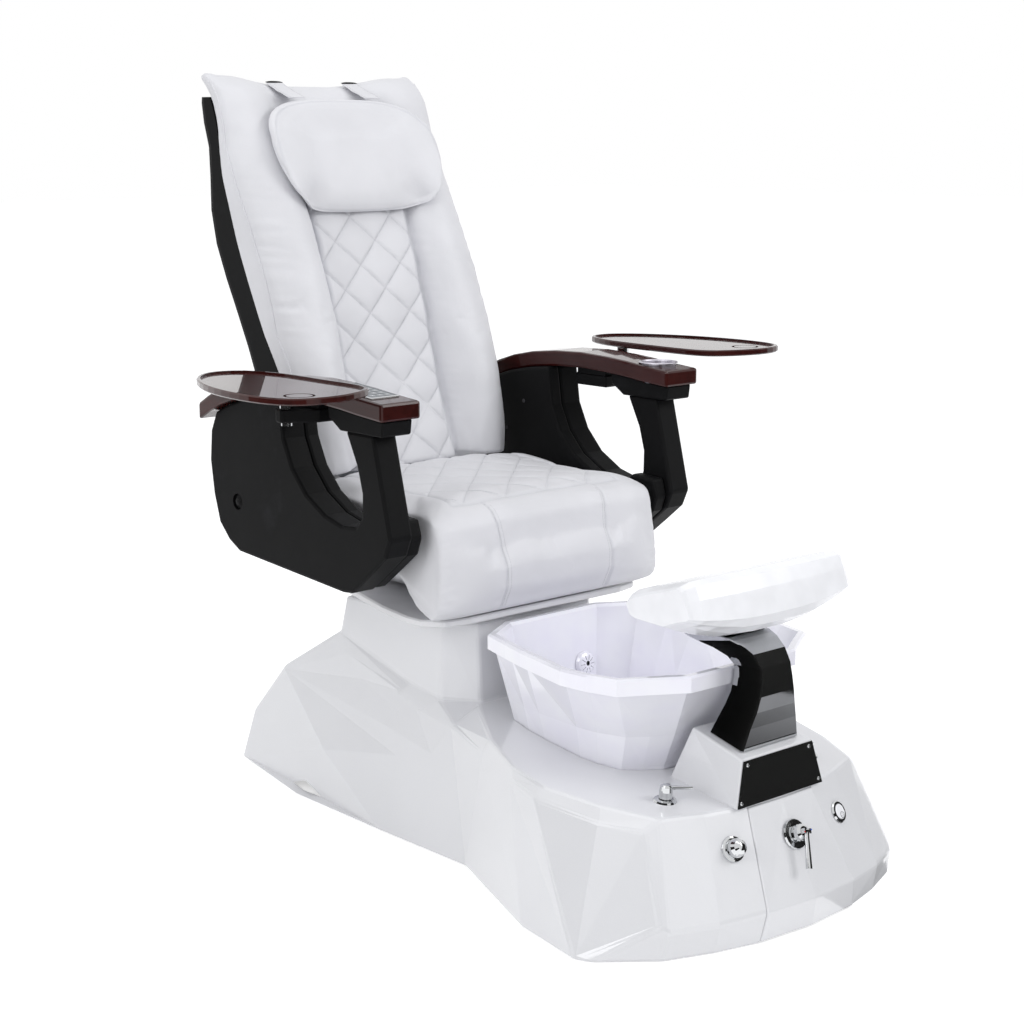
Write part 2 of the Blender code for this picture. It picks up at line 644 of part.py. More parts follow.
def make_basin_fittings():
    """Drain strainer on the floor; jet cover, impeller and motor on the back wall."""
    turned("drain_strainer", [(0.0, 0.0050), (0.014, 0.0045), (0.024, 0.0030), (0.026, 0.0008),
                              (0.026, 0.0), (0.0, 0.0)],
           (0.0, -0.300, BASIN_FLOOR_Z + GAP), (0, 0, 1), CHROME)
    waste = rod("waste_pipe", (0.0, -0.300, 0.070), (0.0, -0.300, BASIN_UNDER_Z - GAP), 0.021, DARK)
    fuse(waste, rod("waste_pipe_run", (0.0, -0.305, 0.070), (0.0, -0.160, 0.060), 0.017, cutter=True))
    jet_x, jet_z = 0.066, 0.340
    rise = (RIM_Z - 0.006) - (MID_Z + 0.004)
    slope = (MID_HALF[0][1] - BASIN_WALL - RIM_HALF[0][1] + RIM_WIDTH + BASIN_WALL) / rise
    wall_in = MID_HALF[0][1] - BASIN_WALL - slope * (jet_z - MID_Z - 0.004)
    lean = Vector((0, -1, -slope)).normalized()
    spot = Vector((jet_x, wall_in, jet_z)) + lean * 2 * GAP
    slope_out = (RIM_HALF[0][1] - RIM_WIDTH - MID_HALF[0][1]) / (RIM_Z - RIM_DROP - MID_Z)
    wall_out = MID_HALF[0][1] + slope_out * (jet_z - MID_Z)
    outward = Vector((0, 1, -slope_out)).normalized()
    cover = turned("jet_cover", [(0.005, 0.0120), (0.016, 0.0112), (0.0215, 0.0085), (0.024, 0.0035),
                                 (0.024, 0.0), (0.0215, 0.0), (0.0215, 0.0030), (0.0195, 0.0070),
                                 (0.015, 0.0095), (0.005, 0.0103), (0.005, 0.0120)],
                   spot, lean, ACRYLIC)
    wheel = turned("jet_impeller", [(0.0, 0.0080), (0.003, 0.0078), (0.013, 0.0062), (0.015, 0.0035),
                                    (0.015, 0.0016), (0.003, 0.0016), (0.003, 0.0), (0.0, 0.0)],
                   (0, 0, 0), (0, 0, 1), DARK, sides=24)
    wheel_turn = Vector((0, 0, 1)).rotation_difference(lean)
    wheel.rotation_quaternion = wheel_turn
    hub = pivot("jet_axis", spot)
    wheel.location = spot
    carry(hub, wheel)
    face = Vector((jet_x, wall_out, jet_z)) + outward * 2 * GAP
    rod("jet_motor", face, face + outward * 0.050, 0.020, DARK, sides=20)
    return cover, spot, lean


# ---------------------------------------------------------------- front plate and footrest
def make_front_plate():
    """Mirror plate on the housing's sloping front."""
    (fy, fz), (ty, tz) = HOUSING_FRONT_FOOT, HOUSING_FRONT_TOP
    normal = Vector((0, -(tz - fz), ty - fy)).normalized()
    rise = Vector((0, ty - fy, tz - fz))
    foot = Vector((0, fy, fz)) + rise * 0.02 + normal * GAP
    top = Vector((0, ty, tz)) - rise * 0.02 + normal * GAP
    rings = []
    for offset in (0.0, PLATE_THICK):
        low, high = foot + normal * offset, top + normal * offset
        wide, narrow = HOUSING_FOOT_HALF - PLATE_MARGIN, HOUSING_TOP_HALF - PLATE_MARGIN
        rings.append([(-wide, low.y, low.z), (wide, low.y, low.z),
                      (narrow, high.y, high.z), (-narrow, high.y, high.z)])
    return stack("front_plate", rings, CHROME)


# sections of the chrome footrest column: half width, front (y, z), rear (y, z)
COLUMN = [
    (0.076, (-0.664, 0.3107), (-0.584, 0.3312)),
    (0.064, (-0.670, 0.3540), (-0.592, 0.3600)),
    (0.054, (-0.675, 0.3820), (-0.600, 0.3850)),
    (0.047, (-0.678, 0.4100), (-0.606, 0.4080)),
    (0.042, (-0.678, 0.4350), (-0.608, 0.4350)),
    (0.041, (-0.673, 0.4600), (-0.607, 0.4560)),
    (0.045, (-0.656, 0.4830), (-0.594, 0.4690)),
    (0.051, (-0.632, 0.4980), (-0.566, 0.4800)),
    (0.057, (-0.608, 0.5055), (-0.535, 0.4870)),
    (0.060, (-0.570, FLANGE_Z), (-0.512, 0.4930)),
    (0.060, (-0.505, FLANGE_Z), (-0.503, 0.4960)),
]
KNUCKLE_SPLIT = 0.022


def make_footrest():
    """Waisted chrome column with hinge knuckles, the pin, the hinge leaf and the moulded pad."""
    rings = [[(-w, *front), (w, *front), (w, *rear), (-w, *rear)] for w, front, rear in COLUMN]
    column = stack("footrest_column", rings, CHROME, smooth=40)
    bevel(column, 0.003, 1, 50.0)
    for side in (-1, 1):
        lug = rod("column_knuckle_" + side_name(side), (side * KNUCKLE_SPLIT, HINGE_Y, HINGE_Z - 0.004),
                  (side * 0.050, HINGE_Y, HINGE_Z - 0.004), KNUCKLE_R, cutter=True, sides=20)
        fuse(column, lug)
        fuse(column, box("column_lug_" + side_name(side),
                         (min(side * KNUCKLE_SPLIT, side * 0.050), HINGE_Y - 0.016, HINGE_Z - 0.0105),
                         (max(side * KNUCKLE_SPLIT, side * 0.050), HINGE_Y, HINGE_Z - 0.0005), cutter=True))
    cut(column, rod("column_pin_bore", (-0.06, HINGE_Y, HINGE_Z - 0.004), (0.06, HINGE_Y, HINGE_Z - 0.004),
                    PIN_R + GAP, cutter=True, sides=20))
    pin = rod("footrest_hinge_pin", (-0.053, HINGE_Y, HINGE_Z - 0.004), (0.053, HINGE_Y, HINGE_Z - 0.004),
              PIN_R, STEEL, sides=20)
    axis_point = (0.0, HINGE_Y, HINGE_Z - 0.004)
    tilt = pivot("footrest_tilt_axis", axis_point)

    leaf = box("footrest_hinge_leaf", (-0.052, -0.600, FLANGE_Z + GAP), (0.052, HINGE_Y - 0.0085, PAD_UNDER_Z - GAP),
               STEEL)
    fuse(leaf, box("leaf_neck", (-KNUCKLE_SPLIT + RUN, HINGE_Y - 0.012, HINGE_Z - 0.001),
                   (KNUCKLE_SPLIT - RUN, HINGE_Y, HINGE_Z + 0.0032), cutter=True))
    fuse(leaf, rod("leaf_knuckle", (-KNUCKLE_SPLIT + RUN, HINGE_Y, HINGE_Z - 0.004),
                   (KNUCKLE_SPLIT - RUN, HINGE_Y, HINGE_Z - 0.004), KNUCKLE_R, cutter=True, sides=20))
    cut(leaf, rod("leaf_pin_bore", (-0.06, HINGE_Y, HINGE_Z - 0.004), (0.06, HINGE_Y, HINGE_Z - 0.004),
                  PIN_R + RUN, cutter=True, sides=20))
    carry(tilt, leaf, make_footrest_pad())
    return column, pin


def make_footrest_pad():
    """Moulded pad: a wedge section, bowed at the front and drawn in towards its ends."""
    rings = []
    for x in (-1.0, -0.975, -0.90, -0.72, -0.45, -0.20, 0.20, 0.45, 0.72, 0.90, 0.975, 1.0):
        t = abs(x)
        lift = 0.038 * max(0.0, (t - 0.28) / 0.72) ** 1.6
        bow = 0.018 * t * t
        end = max(0.0, (t - 0.88) / 0.12)
        pinch = 0.012 * end * end
        section = [
            (-0.612 + bow * 0.4 + pinch, PAD_UNDER_Z + lift),
            (-0.655 + bow * 0.8 + pinch, 0.5260 + lift),
            (-0.682 + bow + pinch, 0.5440 + lift * 0.7),
            (-0.690 + bow + pinch, 0.5620 + lift * 0.35),
            (-0.674 + bow * 0.7 + pinch, 0.6060 - pinch * 0.4),
            (-0.659 + bow * 0.4 + pinch, 0.6290 - pinch * 0.8),
            (-0.642 + bow * 0.2 + pinch, 0.6345 - pinch),
            (-0.600, 0.6250 - pinch),
            (-0.545, 0.6080 - pinch),
            (-0.507 - pinch * 0.5, 0.5970 - pinch),
            (-0.490 - pinch, 0.5860 - pinch * 0.5),
            (-0.482 - pinch, 0.5600 + lift * 0.3),
            (-0.492 - pinch, 0.5240 + lift * 0.8),
            (-0.506 - pinch, PAD_UNDER_Z + lift),
        ]
        half = [PAD_HALF * (1.0 - 0.5 * max(0.0, y - PAD_FRONT_Y)) for y, _ in section]
        rings.append([(x * h, y, z) for h, (y, z) in zip(half, section)])
    pad = stack("footrest_pad", rings, GLOSS, smooth=35)
    return pad


# ---------------------------------------------------------------- taps, knob and switch
def local_frame(origin, normal):
    """Rotation taking local +Z to the normal and local -Y to the downhill direction."""
    up = Vector(normal).normalized()
    across = Vector((1, 0, 0))
    across = (across - up * across.dot(up)).normalized()
    forward = up.cross(across)
    frame = Matrix((across, forward, up)).transposed().to_4x4()
    frame.translation = Vector(origin)
    return frame


def placed(obj, frame):
    """Move an object that was modelled round the origin to a local frame."""
    obj.rotation_mode = "QUATERNION"
    obj.rotation_quaternion = (frame.to_quaternion() @ obj.rotation_quaternion)
    obj.location = frame @ Vector(obj.location)
    return obj


def make_front_controls():
    """Drain knob, mixer tap with its lever, and the jet push switch, square to the front."""
    joints = {}
    spot, normal = plane_frame("top_panel", "skirt_panel", "top_bow", 0.143, 0.163)
    for side in (-1, 1):
        point = Vector((side * spot.x, spot.y, spot.z))
        facing = Vector((side * normal.x, normal.y, normal.z))
        frame = local_frame(point + facing * GAP, facing)
        if side < 0:
            placed(turned("drain_knob_ring", [(0.0, 0.0015), (0.0185, 0.0015), (0.0190, 0.0040),
                                              (0.0225, 0.0030), (0.0235, 0.0), (0.0, 0.0)],
                          (0, 0, 0), (0, 0, 1), CHROME), frame)
            knob = turned("drain_knob", [(0.0, 0.0300), (0.0070, 0.0285), (0.0130, 0.0240), (0.0165, 0.0170),
                                         (0.0172, 0.0110), (0.0150, 0.0060), (0.0140, 0.0019), (0.0, 0.0019)],
                          (0, 0, 0), (0, 0, 1), CHROME)
            placed(knob, frame)
            joints["drain_knob"] = (point, facing)
            carry(pivot("drain_knob_axis", point), knob)
        else:
            placed(turned("jet_switch_bezel", [(0.0150, 0.0050), (0.0185, 0.0045), (0.0205, 0.0020),
                                               (0.0205, 0.0), (0.0145, 0.0), (0.0145, 0.0042), (0.0150, 0.0050)],
                          (0, 0, 0), (0, 0, 1), CHROME), frame)
            button = turned("jet_switch_button", [(0.0, 0.0062), (0.0110, 0.0060), (0.0138, 0.0052),
                                                  (0.0140, 0.0030), (0.0140, 0.0028), (0.0, 0.0028)],
                            (0, 0, 0), (0, 0, 1), GLOSS)
            placed(button, frame)
            joints["jet_switch"] = (point, facing)
            carry(pivot("jet_switch_axis", point), button)

    point, normal = plane_frame("top_panel", "skirt_panel", "top_middle", 0.0, 0.160)
    normal = Vector((0.0, normal.y, normal.z)).normalized()
    point = Vector((0.0, BASE_POINTS["skirt_middle"][1], SKIRT_Z)).lerp(
        Vector(BASE_POINTS["top_middle"]), (0.160 - SKIRT_Z) / (0.2235 - SKIRT_Z))
    point += normal * PANEL_PROUD
    frame = local_frame(point + normal * (GAP + 0.0004), normal)
    hung = frame @ Matrix.Rotation(math.radians(MIXER_REST_DEG), 4, "Z")
    placed(turned("mixer_escutcheon", [(0.0, 0.0055), (0.0200, 0.0052), (0.0265, 0.0035), (0.0280, 0.0),
                                       (0.0, 0.0)], (0, 0, 0), (0, 0, 1), CHROME), frame)
    turret = turned("mixer_turret", [(0.0, 0.0240), (0.0100, 0.0235), (0.0150, 0.0200), (0.0155, 0.0120),
                                     (0.0150, 0.0060), (0.0, 0.0060)], (0, 0, 0), (0, 0, 1), CHROME)
    for side in (-1, 1):
        ear = box("mixer_ear_" + side_name(side), (min(side * 0.0042, side * 0.0080), -0.0045, 0.0200),
                  (max(side * 0.0042, side * 0.0080), 0.0045, 0.0330), cutter=True)
        ear.rotation_mode = "QUATERNION"
        placed(ear, hung)
        fuse(turret, ear)
    placed(turret, hung)
    turn_axis = pivot("mixer_turn_axis", point)
    carry(turn_axis, turret)

    lever = rod("mixer_lever", (0, -0.002, 0.0290), (0, -0.066, 0.0240), 0.0040, CHROME, sides=16,
                radius_end=0.0060)
    root = rod("mixer_lever_root", (-0.0039, 0, 0.0290), (0.0039, 0, 0.0290), 0.0042, cutter=True, sides=16)
    for piece in (lever, root):
        piece.rotation_mode = "QUATERNION"
        placed(piece, hung)
    fuse(lever, root)
    lift_point = hung @ Vector((0, 0, 0.0290))
    lift_axis = pivot("mixer_lift_axis", lift_point, turn_axis)
    carry(lift_axis, lever)
    joints["mixer_turn"] = (point, normal)
    joints["mixer_lift"] = (lift_point, hung.to_3x3() @ Vector((-1, 0, 0)))
    return joints


VALVE_X = 0.192
VALVE_Y = -0.590


def make_valves():
    """A lever valve on each front corner of the platform."""
    spots = {}
    for side in (-1, 1):
        name = side_name(side)
        z = platform_z(VALVE_Y)
        tilt = Vector((0, -(PLATFORM_REAR_Z - PLATFORM_FRONT_Z), PLATFORM_REAR_Y - PLATFORM_FRONT_Y)).normalized()
        frame = local_frame(Vector((side * VALVE_X, VALVE_Y, z)) + tilt * GAP, tilt)
        placed(turned(name + "_valve_flange", [(0.0, 0.0050), (0.0150, 0.0046), (0.0200, 0.0030),
                                               (0.0215, 0.0), (0.0, 0.0)], (0, 0, 0), (0, 0, 1), CHROME), frame)
        handle = turned(name + "_valve_lever", [(0.0, 0.0310), (0.0070, 0.0305), (0.0110, 0.0270),
                                                (0.0120, 0.0180), (0.0120, 0.0056), (0.0, 0.0056)],
                        (0, 0, 0), (0, 0, 1), CHROME, sides=24)
        arm = rod(name + "_valve_arm", (0, 0, 0.0240), (-side * 0.034, -0.031, 0.0275), 0.0042, cutter=True,
                  sides=14, radius_end=0.0030)
        arm.rotation_mode = "QUATERNION"
        placed(arm, frame)
        fuse(handle, arm)
        placed(handle, frame)
        point = Vector((side * VALVE_X, VALVE_Y, z))
        carry(pivot(name + "_valve_axis", point), handle)
        spots[name] = (point, tilt)
    return spots


# ---------------------------------------------------------------- seat
RUNNER_X = 0.115


def make_slide():
    """Power slide: two channel rails and an actuator in the pedestal's pocket."""
    rails = box("slide_rails", (-RUNNER_X - 0.013, 0.020, 0.4003), (RUNNER_X + 0.013, 0.060, 0.4040), STEEL)
    for side in (-1, 1):
        x = side * RUNNER_X
        fuse(rails, box(side_name(side) + "_rail", (x - 0.013, 0.002, 0.4003), (x + 0.013, 0.283, 0.4350),
                        cutter=True))
        cut(rails, box(side_name(side) + "_rail_groove", (x - 0.0075, -0.01, 0.4060), (x + 0.0075, 0.30, 0.45),
                       cutter=True))
    motor = box("slide_actuator", (-0.024, 0.150, 0.4003), (0.024, 0.275, 0.4420), DARK)
    bevel(motor, 0.003, 1, 40)
    fuse(motor, rod("slide_actuator_tube", (0.0, 0.116, 0.4200), (0.0, 0.160, 0.4200), 0.0130, cutter=True))
    cut(motor, rod("slide_actuator_bore", (0.0, 0.1, 0.4200), (0.0, 0.228, 0.4200), 0.0075, cutter=True))


def make_seat_frame(seat):
    """Seat pan with its runners, the side brackets, the pivot shaft and the bushings."""
    front, rear = PAN_FRONT_Y, PAN_REAR_Y
    outline = [(0.0, front), (0.205, front), (0.256, front + 0.012), (PAN_HALF, front + 0.050),
               (PAN_HALF + 0.001, 0.010), (0.266, 0.110), (0.230, 0.230), (0.206, rear), (0.0, rear)]
    ring = [(x, y) for x, y in mirrored(outline)]
    pan = slab("seat_pan", ring, PAN_Z, PAN_Z + PAN_THICK, GLOSS, axis="Z")
    bevel(pan, 0.003, 1, 40)
    pieces = [pan]
    runners = box("slide_runners", (-RUNNER_X, 0.175, 0.4470), (RUNNER_X, 0.215, PAN_Z - GAP), STEEL)
    for side in (-1, 1):
        x = side * RUNNER_X
        fuse(runners, box(side_name(side) + "_runner", (x - 0.0065, 0.050, 0.4070),
                          (x + 0.0065, 0.225, PAN_Z - GAP), cutter=True))
    pieces.append(runners)
    slide_rod = rod("slide_rod", (0.0, 0.055, 0.4200), (0.0, 0.162, 0.4200), 0.0065, CHROME, sides=20)
    slide_lug = box("slide_rod_block", (-0.012, 0.048, 0.4090), (0.012, 0.062, PAN_Z - GAP), cutter=True)
    fuse(slide_rod, slide_lug)
    pieces.append(slide_rod)

    shaft = rod("pivot_shaft", (-SHAFT_HALF, PIVOT_Y, PIVOT_Z), (SHAFT_HALF, PIVOT_Y, PIVOT_Z), SHAFT_R, STEEL,
                sides=28)
    pieces.append(shaft)
    plate = [(0.285, PAN_Z + 0.0008), (0.352, PAN_Z + 0.0008), (0.385, 0.520), (0.422, 0.640),
             (0.424, PIVOT_Z + 0.008), (0.416, PIVOT_Z + 0.020), (0.400, PIVOT_Z + 0.026),
             (0.384, PIVOT_Z + 0.020), (0.377, PIVOT_Z + 0.004), (0.372, 0.620), (0.348, 0.530),
             (0.338, PAN_Z + PAN_THICK), (0.285, PAN_Z + PAN_THICK - 0.0008)]
    for side in (-1, 1):
        low, high = sorted((side * BRACKET_IN, side * BRACKET_OUT))
        fuse(pan, slab(side_name(side) + "_seat_bracket", plate, low, high, cutter=True))
        cut(pan, rod(side_name(side) + "_bracket_bore", (side * (BRACKET_IN - 0.02), PIVOT_Y, PIVOT_Z),
                     (side * (BRACKET_OUT + 0.02), PIVOT_Y, PIVOT_Z), SHAFT_R + GAP, cutter=True, sides=28))
    carry(seat, *pieces)


def make_seat_cushion(seat):
    """Deep box cushion: crowned top, rolled front edge, sides drawn in below the top seam."""
    under = PAN_Z + PAN_THICK + GAP
    xs = (-1.0, -0.94, -0.80, -0.45, 0.0, 0.45, 0.80, 0.94, 1.0)
    sections = []
    profile = [
        (SEAT_REAR_Y, under), (SEAT_REAR_Y, under + 0.06), (SEAT_REAR_Y, SEAT_TOP_Z - 0.05),
        (SEAT_REAR_Y - 0.004, SEAT_TOP_Z - 0.014), (SEAT_REAR_Y - 0.018, SEAT_TOP_Z - 0.001),
        (0.240, SEAT_TOP_Z + 0.001), (0.130, SEAT_TOP_Z - SEAT_INSET), (0.010, SEAT_TOP_Z - SEAT_INSET),
        (-0.045, SEAT_TOP_Z - 0.003), (-0.083, SEAT_TOP_Z - 0.014), (-0.100, SEAT_TOP_Z - 0.036),
        (SEAT_FRONT_Y - 0.004, SEAT_TOP_Z - 0.075), (SEAT_FRONT_Y - 0.004, SEAT_TOP_Z - 0.120),
        (SEAT_FRONT_Y, under + 0.035), (SEAT_FRONT_Y + 0.010, under + 0.010), (SEAT_FRONT_Y + 0.030, under),
        (-0.020, under), (0.060, under), (0.200, under),
    ]
    for x in xs:
        t = abs(x)
        crown = SEAT_CROWN * (1.0 - t * t)
        edge = max(0.0, (t - 0.80) / 0.20) ** 2
        ring = []
        for y, z in profile:
            height = (z - under) / (SEAT_TOP_Z - under)
            z_out = z + crown * max(0.0, height - 0.6) / 0.4 - 0.016 * edge * max(0.0, height - 0.5)
            z_out += 0.006 * edge * max(0.0, 0.4 - height)
            pull = 0.012 * edge
            y_out = y + (pull if y < 0.1 else -pull * 0.5)
            hull = 0.105 * max(0.0, (t - 0.62) / 0.38) * min(1.0, max(0.0, (y + 0.040) / 0.100))
            z_out = max(z_out, min(under + hull, z_out + hull) if height < 0.45 else z_out)
            waist = 1.0 - 0.030 * (1.0 - height) - 0.010 * math.sin(math.pi * height) * t
            ring.append((x * SEAT_HALF * waist, y_out, max(under, z_out)))
        sections.append(ring)
    cushion = stack("seat_cushion", sections, LEATHER, smooth=60)
    carry(seat, cushion)


# ---------------------------------------------------------------- arms
REST_TOP = [(-0.090, 0.9010), (-0.016, 0.9070), (0.036, 0.9125), (0.090, 0.9165), (0.170, 0.9195),
            (0.250, 0.9165), (0.320, 0.9090), (0.380, 0.8970), (0.430, 0.8815), (0.470, 0.8640),
            (0.505, 0.8450)]
REST_FRONT_Y = -0.088
REST_REAR_Y = 0.505


def rest_top(y):
    return lerp_table(REST_TOP, y)


def rest_bottom(y):
    return rest_top(y) - REST_THICK


def rest_stations():
    inner = [y for y, _ in REST_TOP if REST_FRONT_Y + 0.01 < y < REST_REAR_Y - 0.01]
    return [REST_FRONT_Y] + inner + [REST_REAR_Y]


OPENING = [(0.252, 0.860), (0.240, 0.800), (0.213, 0.745), (0.170, 0.700), (0.112, 0.668), (0.060, 0.655),
           (0.016, 0.658), (-0.003, 0.680), (-0.004, 0.725), (0.010, 0.774), (0.043, 0.8380)]
LEG_TOP_Z = 0.8380
SHELL_OUTER = [(-0.088, 0.648), (-0.072, 0.612), (-0.030, 0.577), (0.030, 0.529), (0.060, 0.526),
               (0.254, 0.541), (0.400, 0.552), (0.436, 0.571), (0.468, 0.603), (0.486, 0.660),
               (0.496, 0.728), (0.490, 0.789)]


def under_rest(y_values):
    return [(y, rest_bottom(y) - GAP) for y in y_values]


def make_arm(side, seat):
    """One lifting arm: two moulded shells, saddle, wooden rest and what it carries."""
    name = side_name(side)
    hinge = pivot(name + "_arm_axis", (side * ARM_SPLIT, PIVOT_Y, PIVOT_Z), seat)
    top = under_rest([0.470, 0.430, 0.380, 0.320, 0.252])
    outer_ring = [(-0.040, LEG_TOP_Z)] + SHELL_OUTER + top + OPENING[1:]
    inner_ring = [(-0.066, 0.676), (-0.076, 0.640), (-0.064, 0.608), (-0.026, 0.577), (0.032, 0.532)]
    inner_ring += [(y - 0.002, z + 0.003) for y, z in SHELL_OUTER[4:]] + top + OPENING[1:8]

    def shell(label, ring, x0, x1):
        low, high = sorted((side * x0, side * x1))
        body = slab(name + label, ring, low, high, BLACK)
        bevel(body, ARM_EDGE, 2, 32.0)
        cut(body, rod(name + label + "_bore", (side * (x0 - 0.02), PIVOT_Y, PIVOT_Z),
                      (side * (x1 + 0.02), PIVOT_Y, PIVOT_Z), SHAFT_R + RUN, cutter=True, sides=28))
        return body

    outer = shell("_arm_outer_shell", outer_ring, ARM_SPLIT, ARM_OUT)
    inner = shell("_arm_inner_shell", inner_ring, ARM_IN, ARM_SPLIT - GAP)
    cut(outer, rod(name + "_cap_recess", (side * (ARM_OUT - 0.008), PIVOT_Y, PIVOT_Z),
                   (side * (ARM_OUT + 0.01), PIVOT_Y, PIVOT_Z), 0.0165, cutter=True, sides=28))
    cap = turned(name + "_pivot_cap", [(0.0, 0.0090), (0.0065, 0.0080), (0.0100, 0.0050), (0.0155, 0.0030),
                                       (0.0160, 0.0), (0.0, 0.0)],
                 (side * (ARM_OUT - 0.008 + GAP), PIVOT_Y, PIVOT_Z), (side, 0, 0), BLACK)
    ys = rest_stations()
    rest_ring = [(y, rest_top(y)) for y in ys] + [(y, rest_bottom(y)) for y in reversed(ys)]
    low, high = sorted((side * REST_IN, side * REST_OUT))
    rest = slab(name + "_armrest", rest_ring, low, high, MAHOGANY)
    bevel(rest, REST_EDGE, 2, 40.0)
    low, high = sorted((side * (REST_IN + 0.0125), side * (REST_OUT - 0.010)))
    saddle_ring = [(-0.076, LEG_TOP_Z + GAP), (0.050, LEG_TOP_Z + GAP), (0.084, LEG_TOP_Z + 0.022)]
    saddle_ring += under_rest([0.086, 0.036, -0.016, -0.080])
    saddle = slab(name + "_arm_saddle", saddle_ring, low, high, BLACK)
    bevel(saddle, 0.003, 1, 40.0)
    pieces = [outer, inner, cap, rest, saddle]
    pieces.append(make_tray_bracket(side, name, rest))
    if side > 0:
        pieces.append(make_cup_holder(rest, saddle))
    else:
        pieces += make_keypad(rest)
    carry(hinge, *pieces)
    make_tray(side, name, hinge)


def make_tray_bracket(side, name, rest):
    """Cast bracket under the armrest that carries the tray's pivot."""
    px, py = TRAY_PIVOT
    ring = [(side * x, y) for x, y in (
        (px - 0.098, py - 0.048), (px - 0.043, py - 0.046), (px, py - 0.020), (px + 0.019, py - 0.008),
        (px + 0.019, py + 0.010), (px, py + 0.021), (px - 0.043, py + 0.044), (px - 0.098, py + 0.046))]
    bracket = slab(name + "_tray_bracket", ring, BRACKET_LOW_Z, BRACKET_TOP_Z, BLACK, axis="Z")
    bevel(bracket, 0.003, 1, 40.0)
    near, far = sorted((side * (px - 0.096), side * (px - 0.044)))
    ribs = box(name + "_bracket_pad", (near, py - 0.043, BRACKET_TOP_Z - 0.004),
               (far, py + 0.041, rest_bottom(py - 0.043) - GAP), cutter=True)
    fuse(bracket, ribs)
    cut(bracket, rod(name + "_bracket_bore", (side * px, py, 0.82), (side * px, py, 0.90), 0.0060 + GAP,
                     cutter=True, sides=20))
    return bracket


def make_tray(side, name, arm_hinge):
    """Leaf-shaped swivel tray with a raised lip and a ring recess, on its post and bolt."""
    px, py = TRAY_PIVOT
    swivel = pivot(name + "_tray_axis", (side * px, py, TRAY_BOTTOM_Z), arm_hinge)
    knots = [(-0.0180, -0.100), (-0.0160, -0.200), (0.0000, -0.252), (0.0420, -0.282), (0.1070, -0.300),
             (0.1670, -0.292), (0.2020, -0.258), (0.2160, -0.190), (0.2120, -0.100), (0.1900, -0.010),
             (0.1470, 0.078), (0.0970, 0.128), (0.0520, 0.136), (0.0140, 0.110), (-0.0100, 0.045),
             (-0.0170, -0.030)]
    knots = [(px + x, py + y) for x, y in knots]
    ring = smooth_loop(knots, 3)
    rim = [(side * x, y) for x, y in ring]
    plate = slab(name + "_tray", rim, TRAY_BOTTOM_Z, TRAY_BOTTOM_Z + TRAY_THICK, MAHOGANY, axis="Z")
    centre = Vector((sum(x for x, _ in knots) / len(knots), sum(y for _, y in knots) / len(knots)))
    inner = [(side * p.x, p.y) for p in (shrink(Vector(q), centre, TRAY_LIP) for q in ring)]
    pocket = slab(name + "_tray_pocket", inner, TRAY_BOTTOM_Z + TRAY_THICK - TRAY_RIM,
                  TRAY_BOTTOM_Z + TRAY_THICK + 0.01, cutter=True, axis="Z")
    bevel(plate, 0.0025, 1, 50.0)
    cut(plate, pocket)
    groove = turned(name + "_ring_groove", [(0.0235, 0.02), (0.0285, 0.02), (0.0285, 0.0), (0.0235, 0.0),
                                            (0.0235, 0.02)],
                    (side * (px + 0.137), py - 0.230, TRAY_BOTTOM_Z + TRAY_THICK - TRAY_RIM - 0.003), (0, 0, 1),
                    cutter=True, sides=32)
    cut(plate, groove)
    post = turned(name + "_tray_post",
                  [(0.0, TRAY_BOTTOM_Z - GAP), (TRAY_POST_R, TRAY_BOTTOM_Z - GAP),
                   (TRAY_POST_R, BRACKET_TOP_Z + GAP), (0.0060, BRACKET_TOP_Z + GAP),
                   (0.0060, BRACKET_LOW_Z - GAP), (0.0105, BRACKET_LOW_Z - GAP),
                   (0.0105, BRACKET_LOW_Z - 0.0065), (0.0, BRACKET_LOW_Z - 0.0075)],
                  (side * px, py, 0.0), (0, 0, 1), CHROME, sides=24)
    carry(swivel, plate, post)


def smooth_loop(knots, per_span):
    """Closed Catmull-Rom curve through the knots."""
    points = []
    count = len(knots)
    for i in range(count):
        p0, p1, p2, p3 = (Vector(knots[(i + k) % count]) for k in (-1, 0, 1, 2))
        for step in range(per_span):
            t = step / per_span
            a = 2 * p1 + (p2 - p0) * t
            b = (2 * p0 - 5 * p1 + 4 * p2 - p3) * t * t
            c = (3 * p1 - p0 - 3 * p2 + p3) * t ** 3
            points.append(tuple((a + b + c) / 2))
    return points


def shrink(point, centre, amount):
    """Point moved towards a centre by a fixed distance."""
    inward = centre - point
    return point + inward.normalized() * amount


def make_cup_holder(rest, saddle):
    """Silver cup let into the front of the armrest."""
    z = rest_top(CUP_Y)
    hole = rod("cup_hole", (CUP_X, CUP_Y, z - CUP_DEPTH - 0.001), (CUP_X, CUP_Y, z + 0.02),
               CUP_R - 0.0045 + GAP, cutter=True, sides=36, radius_end=CUP_R + GAP + 0.0005)
    cut(rest, hole)
    cut(saddle, hole)
    profile = [(0.0, -CUP_DEPTH + 0.004), (CUP_R - 0.0070, -CUP_DEPTH + 0.004), (CUP_R - 0.0028, 0.0),
               (CUP_R - 0.0010, 0.0030), (CUP_R + 0.0025, 0.0026), (CUP_R + 0.0035, 0.0012),
               (CUP_R - 0.0008, 0.0010), (CUP_R - 0.0046, -CUP_DEPTH + 0.002), (0.0, -CUP_DEPTH + 0.002)]
    return turned("cup_holder", profile, (CUP_X, CUP_Y, z + 0.0032), (0, 0, 1), SILVER, sides=32)


